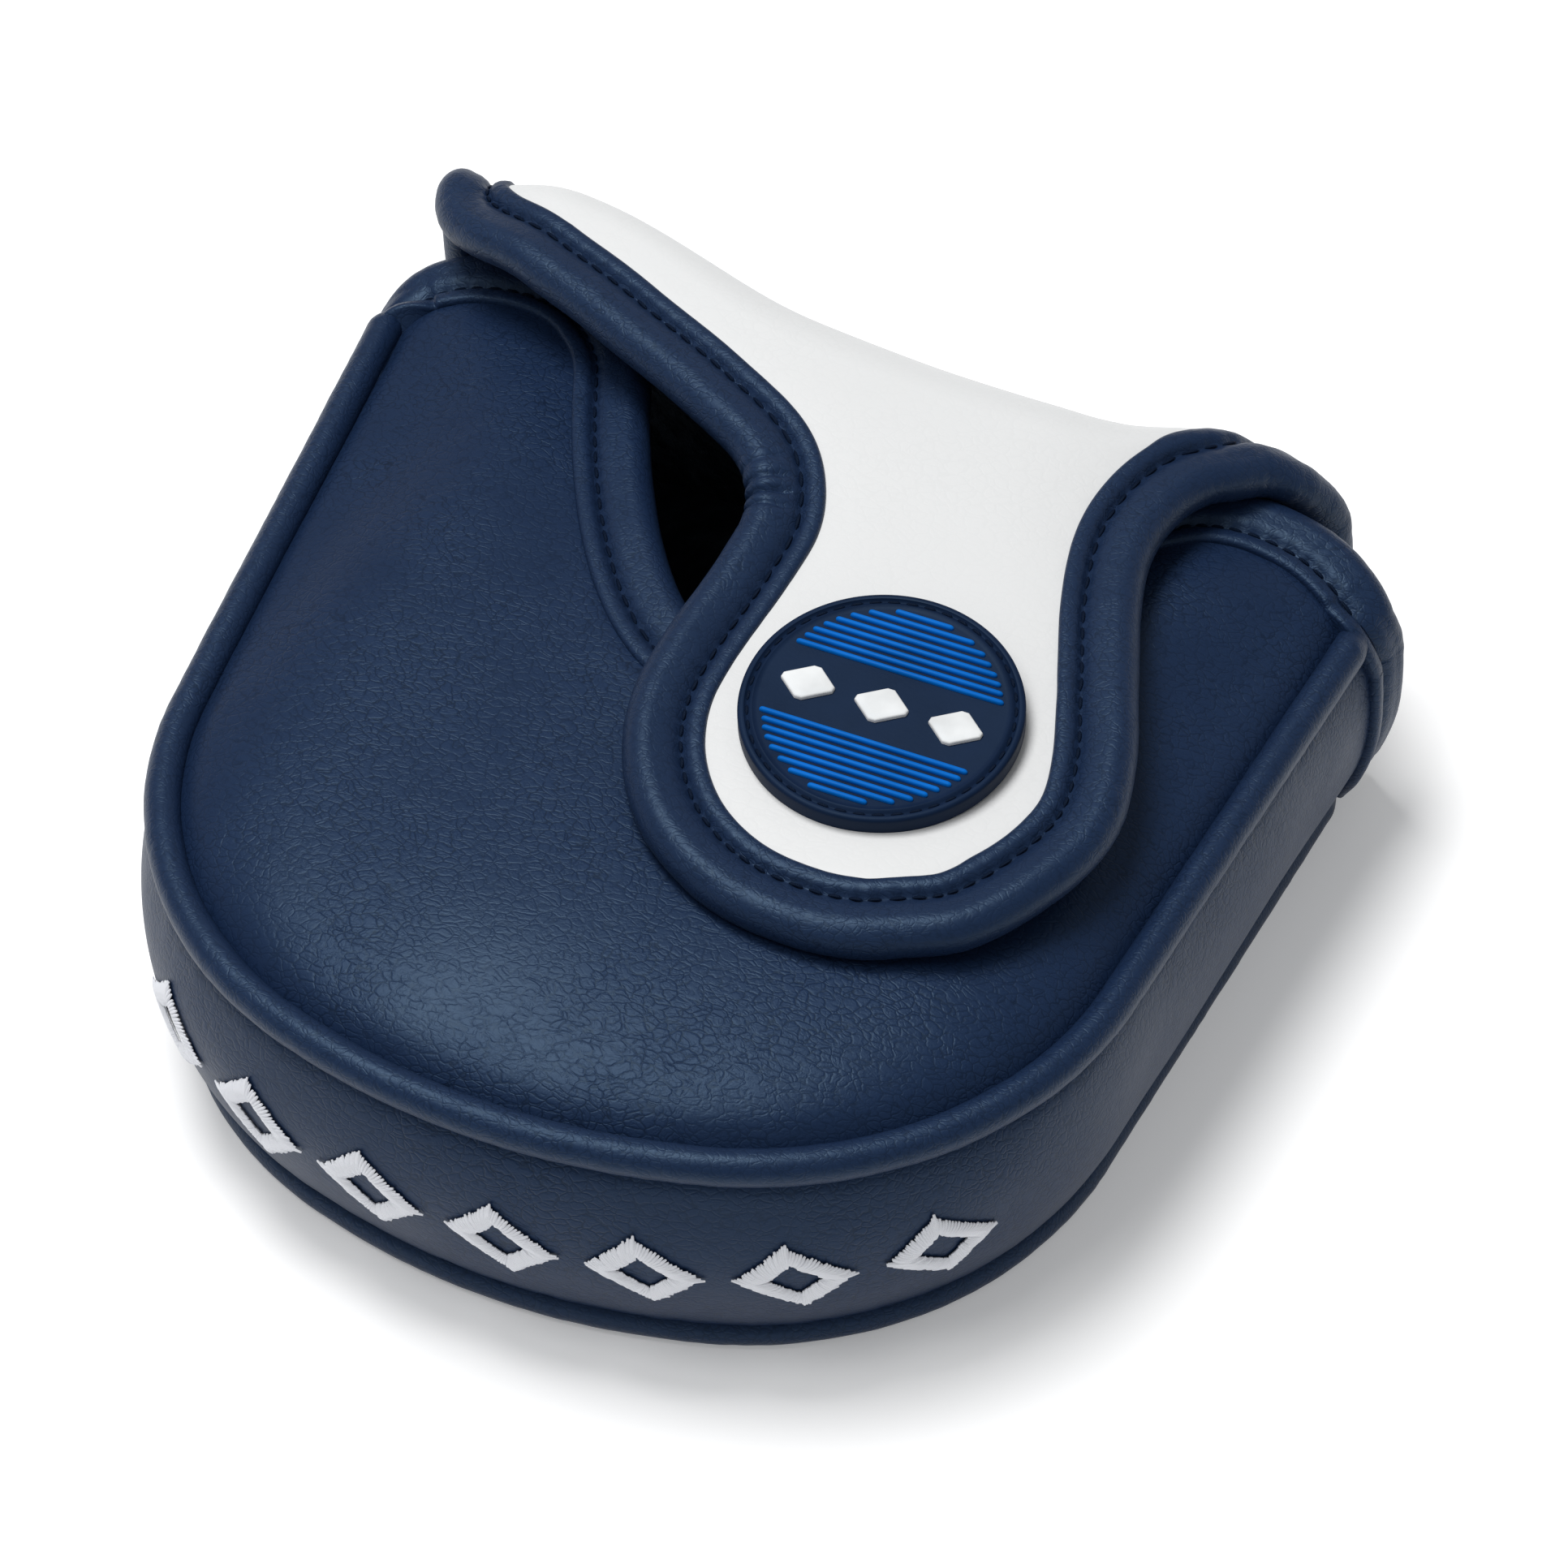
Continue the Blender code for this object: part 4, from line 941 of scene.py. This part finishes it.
def flap_edge():
    """Bead centre line of the flap in sheet coordinates (x, s), left foot to right foot."""
    left_wall = [(-57.0, 0.8), (-57.6, 8.0), (-59.0, 16.0), (-60.3, 29.0), (-60.4, 40.0)]
    left_wing = ((-57.2, 58.8), (-46.4, 53.3), (-32.0, 47.0), (-18.8, 40.6), (-7.9, 34.2),
                 (-3.0, 26.2), (-2.7, 18.0))
    tongue = ((-4.0, 3.6), (-3.7, -5.4), (-0.7, -13.9), (5.1, -21.1), (13.2, -25.8),
              (22.2, -27.3), (32.4, -25.3), (40.2, -21.1), (45.7, -12.8), (48.6, -3.8),
              (47.4, 5.5))
    right = ((43.5, 16.8), (39.5, 28.1), (37.2, 38.3), (37.6, 46.4), (39.8, 52.8), (42.6, 56.4))
    over = [(x, flap_s(x, y)) for x, y in left_wing + tongue + right]
    right_wall = [(45.4, 41.6), (48.6, 37.4), (51.0, 33.6), (52.8, 29.8), (53.6, 25.0),
                  (53.8, 18.0), (53.8, 12.0), (53.8, 0.8)]
    return softened(evenly(spline(left_wall + over + right_wall, 16), 1500), 40)


EDGE = flap_edge()


def sheet(at):
    """The two sheet coordinates of points, apart."""
    return at[..., 0], at[..., 1]


def inset_direction(curve, run):
    """Sheet-coordinate steps that move one millimetre inwards, square to the edge in space."""
    x, s = sheet(curve)
    ex = (flap_mid(x + 0.4, s) - flap_mid(x - 0.4, s)) / 0.8
    es = (flap_mid(x, s + 0.4) - flap_mid(x, s - 0.4)) / 0.8
    e, f, g = (ex * ex).sum(-1), (ex * es).sum(-1), (es * es).sum(-1)
    dx, ds = sheet(run)
    a, b = f * dx + g * ds, -(e * dx + f * ds)
    size = np.sqrt(np.maximum(e * a * a + 2 * f * a * b + g * b * b, 1e-12))
    return np.stack([a / size, b / size], -1)


def inset(curve, run, back):
    """The edge moved `back` millimetres inwards; back may hold one row per point."""
    back = np.asarray(back, float)
    if back.ndim == 2:
        curve, run = curve[:, None] + 0 * back[..., None], run[:, None] + 0 * back[..., None]
    half = curve + 0.5 * back[..., None] * inset_direction(curve, run)
    return curve + back[..., None] * inset_direction(half, run)


def at_split(curve, i):
    """The point at the split height between points i - 1 and i of a curve."""
    a, b = curve[i - 1], curve[i]
    return a + (b - a) * (SPLIT_Z - a[1]) / (b[1] - a[1])


def edge_run(part):
    """The part of the edge that belongs to one mesh, cut exactly at the split height."""
    first = int(np.argmax(EDGE[:, 1] > SPLIT_Z))
    last = len(EDGE) - int(np.argmax(EDGE[::-1, 1] > SPLIT_Z))
    head, tail = at_split(EDGE, first), at_split(EDGE, last)
    if part == "left":
        return np.vstack([EDGE[:first], head])
    if part == "right":
        return np.vstack([tail, EDGE[last:]])
    return np.vstack([head, EDGE[first:last], tail])


def edge_direction(curve):
    """Run of the edge; at the split it is square to the split line so both meshes meet."""
    run = np.gradient(curve, axis=0)
    for at in (0, -1):
        if abs(curve[at, 1] - SPLIT_Z) < 0.01:
            run[at] = (0.0, np.sign(run[at, 1]))
    return run


def flap_rings(curve, section, move):
    a, b = pushed(section, move)
    at = inset(curve, edge_direction(curve), a)
    return flap_mid(*sheet(at)) + b[..., None] * flap_normal(*sheet(at))


def carry(obj, upper):
    if upper:
        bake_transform(obj)
    else:
        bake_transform(obj)


def flap_binding(part, nodes):
    curve, upper = edge_run(part), part == "over"
    base = flap_mid(*sheet(curve))
    length = arc_length(base)
    turn = softened(sharpness(base, length), 20)
    section = binding_section(1.25, -1.7, 6.0)
    rest = flap_rings(curve, section, NO_MOVE)
    creases = notch_creases(curve, length) if upper else ()
    move = pucker(section, length, turn, 83, rest, creases)
    ends = np.minimum(length, length[-1] - length)[:, None]
    rings = flap_rings(curve, section, move * ease(ends / 2.0))
    obj = tube("flap_edge_" + part, rings, WELT)
    carry(obj, upper)
    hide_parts(*nodes)
    seam = sheet(inset(curve, edge_direction(curve), GROOVE + 0 * length))
    inward = flap_mid(*seam)
    sewn = stitches("flap_stitches_" + part, inward, unit(inward - base), flap_normal(*seam),
                    length, 1.02, 0.0)
    carry(sewn, upper)


def notch_creases(curve, length):
    """Deep folds where the left wing turns into the tongue."""
    first = int(np.argmin(np.hypot(curve[:, 0] + 4.0, curve[:, 1] - flap_s(-4.0, 27.0))))
    at = length[first]
    return [(at - 2.6, 0.45, 0.5), (at - 0.4, 0.5, 0.75), (at + 1.7, 0.4, 0.4),
            (at - 5.2, 0.5, 0.22)]


def flap_rows(back, upper):
    """Left and right ends, in sheet coordinates, of each row of the flap's grid."""
    inner = softened(inset(EDGE, np.gradient(EDGE, axis=0), back + 0 * EDGE[:, 0]), 10)
    tip = int(np.argmax(EDGE[:, 1]))
    sides = inner[:tip + 1], inner[tip:][::-1]
    if not upper:
        s = np.linspace(0.6, SPLIT_Z, 26)
        return [np.stack([np.interp(s, side[:300, 1], side[:300, 0]), s], 1) for side in sides]
    out = []
    for side, wing in zip(sides, (46.0, 38.0)):
        start = int(np.argmax(side[:, 1] > SPLIT_Z))
        rest = np.vstack([at_split(side, start), side[start:]])
        length = arc_length(rest)
        # rows are spread evenly up to the wing, from there to the tongue's neck, and to its tip
        wing_at = length[int(np.argmax(rest[:, 1] > wing))]
        near = (rest[:, 1] > wing + 4) & (length < length[-1] * 0.82)
        neck_at = length[int(np.argmin(np.where(near, np.abs(rest[:, 0] - TONGUE_X), 1e9)))]
        at = np.concatenate([np.linspace(0.0, wing_at, 40, endpoint=False),
                             np.linspace(wing_at, neck_at, 90, endpoint=False),
                             np.linspace(neck_at, length[-1], 109, endpoint=False)])
        out.append(along(at, length, rest))
    return out


def flap_sheet(name, upper, back, cols, depth_out, depth_in, mat, pile):
    left, right = flap_rows(back, upper)
    share = np.linspace(0, 1, cols)
    grid = left[:, None] * (1 - share[:, None]) + right[:, None] * share[:, None]
    x, s = sheet(grid)
    mid, n = flap_mid(x, s), flap_normal(x, s)
    flat = xyz(x, s)
    edge = np.minimum(share, 1 - share) * np.linalg.norm(right - left, axis=1)[:, None]
    far = ease((s - SPLIT_Z) / 4.0) if upper else ease((SPLIT_Z - s) / 4.0)
    if pile:
        depth_in = depth_in - 0.22 * layered(flat, 2.0, 51, 3) * far
    else:
        depth_out = (depth_out - 0.42 * np.exp(-edge / 3.0)
                     + 0.20 * layered(flat * [0.7, 1.0, 1.0], 24.0, 57, 2) * far
                     + 0.05 * noise(flat, 1.8, 58) * np.exp(-edge / 2.5) * far)
    outer, inner = (mid + n * (depth + 0 * x)[..., None] for depth in (depth_out, depth_in))
    obj = slab(name, outer, inner, mat)
    carry(obj, upper)
    return obj


def flap_pieces():
    for part, upper in (("low", False), ("top", True)):
        rows = "tongue" if upper else "wall"
        skin = flap_sheet("flap_skin_" + part, upper, SKIN_BACK, 170, 1.55, -0.6, SNOW, False)
        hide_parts("flap_%s_panel" % rows, "flap_%s_padding" % rows)
        pile = flap_sheet("flap_fleece_" + part, upper, PILE_BACK, 110, -0.7, -1.55, FLEECE, True)
        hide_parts("flap_%s_lining" % rows)
    for part, node_name in (("left", "left"), ("right", "right"), ("over", "top")):
        nodes = ["flap_binding_" + node_name, "flap_binding_%s_cord" % node_name]
        flap_binding(part, nodes)


# ------------------------------------------------------------------ badge
def badge_frame():
    tilt = math.radians(BADGE_TILT_DEG)
    u = np.array((1.0, 0.0, 0.0))
    v = np.array((0.0, math.cos(tilt), math.sin(tilt)))
    n = np.array((0.0, -math.sin(tilt), math.cos(tilt)))
    base = np.array((BADGE_X, BADGE_Y, float(lie_z(BADGE_X, BADGE_Y))))
    return base + n * (FLAP_HALF + 0.1), u, v, n


def turned(name, origin, axes, profile, mat, sides=160):
    """A lathed disc from (radius, height) pairs, from the top centre to the bottom centre."""
    u, v, n = axes
    profile = np.array(profile, float)
    a = np.linspace(0, 2 * np.pi, sides, endpoint=False)
    ring = np.cos(a)[:, None] * u + np.sin(a)[:, None] * v
    rows = origin + profile[:, :1, None] * ring[None] + profile[:, 1:, None] * n
    shape = Shape()
    shape.capped(rows)
    return shape.make(name, mat)


def rounded_bar(shape, base, u, v, n, x0, x1, y, width, height):
    """A raised bar with rounded back and ends."""
    half = width / 2
    stops = [(x0, 0.15), (x0 + 0.05, 0.55), (x0 + 0.2, 0.85), (x0 + 0.45, 1.0),
             (x1 - 0.45, 1.0), (x1 - 0.2, 0.85), (x1 - 0.05, 0.55), (x1, 0.15)]
    rows = []
    for x, grow in stops:
        left = [(-half * grow, -0.4), (-half * grow, height * 0.45 * grow),
                (-half * 0.72 * grow, height * 0.84 * grow), (-half * 0.3 * grow, height * grow)]
        ring = left + [(-a, b) for a, b in left[::-1]]
        rows.append([base + u * x + v * (y + a) + n * b for a, b in ring])
    shape.capped(np.array(rows))


def lozenge(name, base, u, v, n, size, mat):
    """A raised slanted lozenge with softened shoulders."""
    corner = np.array([(3.6, 0.0), (0.3, 2.8), (-3.6, 0.0), (-0.3, -2.8)]) * size
    ring = [a + (b - a) * k for a, b in zip(corner, np.roll(corner, -1, axis=0))
            for k in np.linspace(0.12, 0.88, 6)]
    rows = [[base + u * a * shrink + v * b * shrink + n * height for a, b in ring]
            for shrink, height in ((1.0, -0.4), (1.0, 0.34), (0.965, 0.47), (0.90, 0.53),
                                   (0.55, 0.55), (0.2, 0.55))]
    shape = Shape()
    shape.capped(np.array(rows))
    return shape.make(name, mat)


def badge_pieces():
    origin, u, v, n = badge_frame()
    top = BADGE_T + 0.25
    edge = [(BADGE_R - 0.55, top), (BADGE_R - 0.25, top - 0.06), (BADGE_R - 0.07, top - 0.22),
            (BADGE_R, top - 0.5), (BADGE_R, 0.2), (BADGE_R - 0.2, 0.0), (0.4, 0.0)]
    groove = [(BADGE_GROOVE + away, top - sink)
              for away, sink in ((-0.36, 0.1), (-0.2, 0.32), (0.0, 0.4), (0.2, 0.32), (0.34, 0.06))]
    field = [(0.4, top - 0.22), (6.0, top - 0.22), (13.9, top - 0.22), (14.25, top - 0.18),
             (14.5, top - 0.04)]
    disc = turned("badge_disc", origin, (u, v, n), field + groove + edge, RUBBER)
    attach(disc, "flap_tongue")
    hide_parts("badge_base")
    base = origin + n * (top - 0.22)
    rng = np.random.default_rng(5)
    for side, name in ((1, "upper"), (-1, "lower")):
        shape = Shape()
        for k in range(BAR_COUNT):
            y = BAR_FIRST + k * BAR_PITCH
            x = math.sqrt(BAR_REACH ** 2 - y ** 2)
            slip = rng.uniform(-0.2, 0.2)
            rounded_bar(shape, base, u, v, n, -x + max(slip, 0), x + min(slip, 0), side * y,
                        BAR_W, 0.45)
        bars = shape.make("badge_bars_" + name, RUBBER_BLUE)
        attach(bars, "flap_tongue")
        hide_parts("badge_ribs_" + name)
    for k, at in enumerate((-LOZENGE_PITCH, 0.0, LOZENGE_PITCH)):
        mark = lozenge("badge_mark_%d" % (k + 1), base + u * at, u, v, n, 0.98, RUBBER_WHITE)
        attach(mark, "flap_tongue")
        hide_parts("badge_lozenge_%d" % (k + 1))
    around = np.linspace(0, 2 * np.pi, BADGE_STITCHES, endpoint=False)[:, None]
    starts, ends = (
        origin + BADGE_GROOVE * (np.cos(a) * u + np.sin(a) * v) + n * (top - sink)
        for a, sink in ((around, 0.36), (around + 0.68 * around[1], 0.38)))
    sewn = capsules("badge_stitches", starts, ends, [n] * BADGE_STITCHES, 0.2)
    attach(sewn, "flap_tongue")


# ------------------------------------------------------------------ embroidery
NOSE = half_outline(40.0)[::-1]
NOSE_RUN = arc_length(NOSE)
SIDE_RUN = arc_length(outline(SIDE_END, 0.0, SIDE_COLS))[-1]


def side_point(run, height, lift):
    """A point on the side band: arc length from the nose centre (left is positive) and height."""
    p, q, r = (along(np.maximum(abs(run) + d, 0), NOSE_RUN, NOSE) for d in (0.0, 1.0, -1.0))
    d = unit(q - r)
    n = d[1], -d[0]
    share = side_share(p[1], height)
    off = side_offset(share) + side_move(run, share) + lift
    flip = -1.0 if run > 0 else 1.0
    return np.array([flip * (p[0] + n[0] * off), p[1] + n[1] * off, height])


def embroidered(index):
    """An open lozenge filled with satin stitch: threads laid side by side across its stroke."""
    centre = MARK_FIRST + MARK_PITCH * index
    size = np.array((MARK_W, MARK_H))
    rng = np.random.default_rng(100 + index)
    corners = np.array([(0.5, 0.0), (0.0, 0.5), (-0.5, 0.0), (0.0, -0.5)])
    shape = Shape()
    around = np.linspace(0, 2 * np.pi, 6, endpoint=False)[:, None]
    for a, b in zip(corners, np.roll(corners, -1, axis=0)):
        span = np.linalg.norm((b - a) * size)
        for k in range(int(span / THREAD_PITCH) + 1):
            t = min(k * THREAD_PITCH / span, 1.0)
            at = a + (b - a) * t
            outer = at * (1.0 + rng.uniform(-0.05, 0.03))
            inner = at * (0.46 + rng.uniform(-0.03, 0.03))
            skew = (b - a) * 0.05
            line = []
            for f in np.linspace(0, 1, 6):
                x, z = ((outer + skew) * (1 - f) + (inner - skew) * f) * size
                lift = 0.16 + 0.42 * math.sin(math.pi * (0.08 + 0.84 * f))
                line.append(side_point(centre + x + MARK_SLANT * z, MARK_Z + z, lift))
            line = np.array(line)
            d = unit(np.gradient(line, axis=0))
            out = unit(line * [1, 1, 0] - [0, 20, 0])
            side = unit(np.cross(d, out))
            up = np.cross(side, d)
            thick = THREAD_R * np.array([0.55, 0.95, 1, 1, 0.95, 0.55])[:, None, None]
            shape.capped(line[:, None] + thick * (np.cos(around) * side[:, None]
                                                  + 0.8 * np.sin(around) * up[:, None]))
    mark = shape.make("side_mark_%d" % (index + 1), WHITE_THREAD, 60.0)
    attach(mark, "pouch")
    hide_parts("motif_%d" % (index + 1))


# ------------------------------------------------------------------ studio
def studio():
    mesh = bpy.data.meshes.new("studio_floor")
    mesh.from_pydata([(-4, -4, 0), (4, -4, 0), (4, 4, 0), (-4, 4, 0)], [], [(0, 1, 2, 3)])
    mesh.materials.append(start_material(
        "pale_paper", Base_Color=(0.95, 0.95, 0.95, 1.0), Roughness=0.9, Specular_IOR_Level=0.1,
        Emission_Color=(1.0, 1.0, 1.0, 1.0), Emission_Strength=0.22)[0])
    floor = placed("studio_floor", mesh)

    scene = bpy.context.scene
    scene.world = bpy.data.worlds.new("studio")
    scene.world.use_nodes = True
    sky = scene.world.node_tree.nodes["Background"]
    sky.inputs["Color"].default_value = (0.97, 0.985, 1.0, 1.0)
    sky.inputs["Strength"].default_value = 0.30
    for name, at, size, power in (("key", (-0.26, 0.10, 0.99), 0.45, 7.4),
                                  ("overhead", (-0.22, -0.32, 0.92), 0.36, 1.9)):
        data = bpy.data.lights.new(name, "AREA")
        data.shape = "DISK"
        data.size = size
        data.energy = power
        placed(name, data, at, Vector((0.0, 0.0, 0.02)) - Vector(at))
    scene.view_settings.view_transform = "Standard"


def camera():
    azimuth, elevation, distance = math.radians(22.8), math.radians(48.5), 0.700
    look = Vector((0.006358, 0.008856, 0.020))
    back = Vector((math.sin(azimuth) * math.cos(elevation),
                   -math.cos(azimuth) * math.cos(elevation), math.sin(elevation)))
    data = bpy.data.cameras.new("camera")
    data.lens = 137.85
    data.sensor_width = 36.0
    data.clip_start = 0.01
    bpy.context.scene.camera = placed("camera", data, look + back * distance, -back)


# ------------------------------------------------------------------ assembly
top_pieces()
SIDE_MOVES = side_pieces()
base_pieces()
welt("top_welt", 0.0, seam_z, 50.7, ("top_piping", "top_piping_cord"), 31)
welt("base_welt", BASE_INSET, lambda y: BASE_Z + 0 * y, 52.0,
     ("bottom_piping", "bottom_piping_cord"), 37)
mouth_pieces()
flap_pieces()
badge_pieces()
for number in range(MARK_COUNT):
    embroidered(number)
for magnet in ("catch_magnet", "flap_magnet"):
    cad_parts[magnet].data.materials.clear()
    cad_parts[magnet].data.materials.append(NICKEL)
studio()
camera()
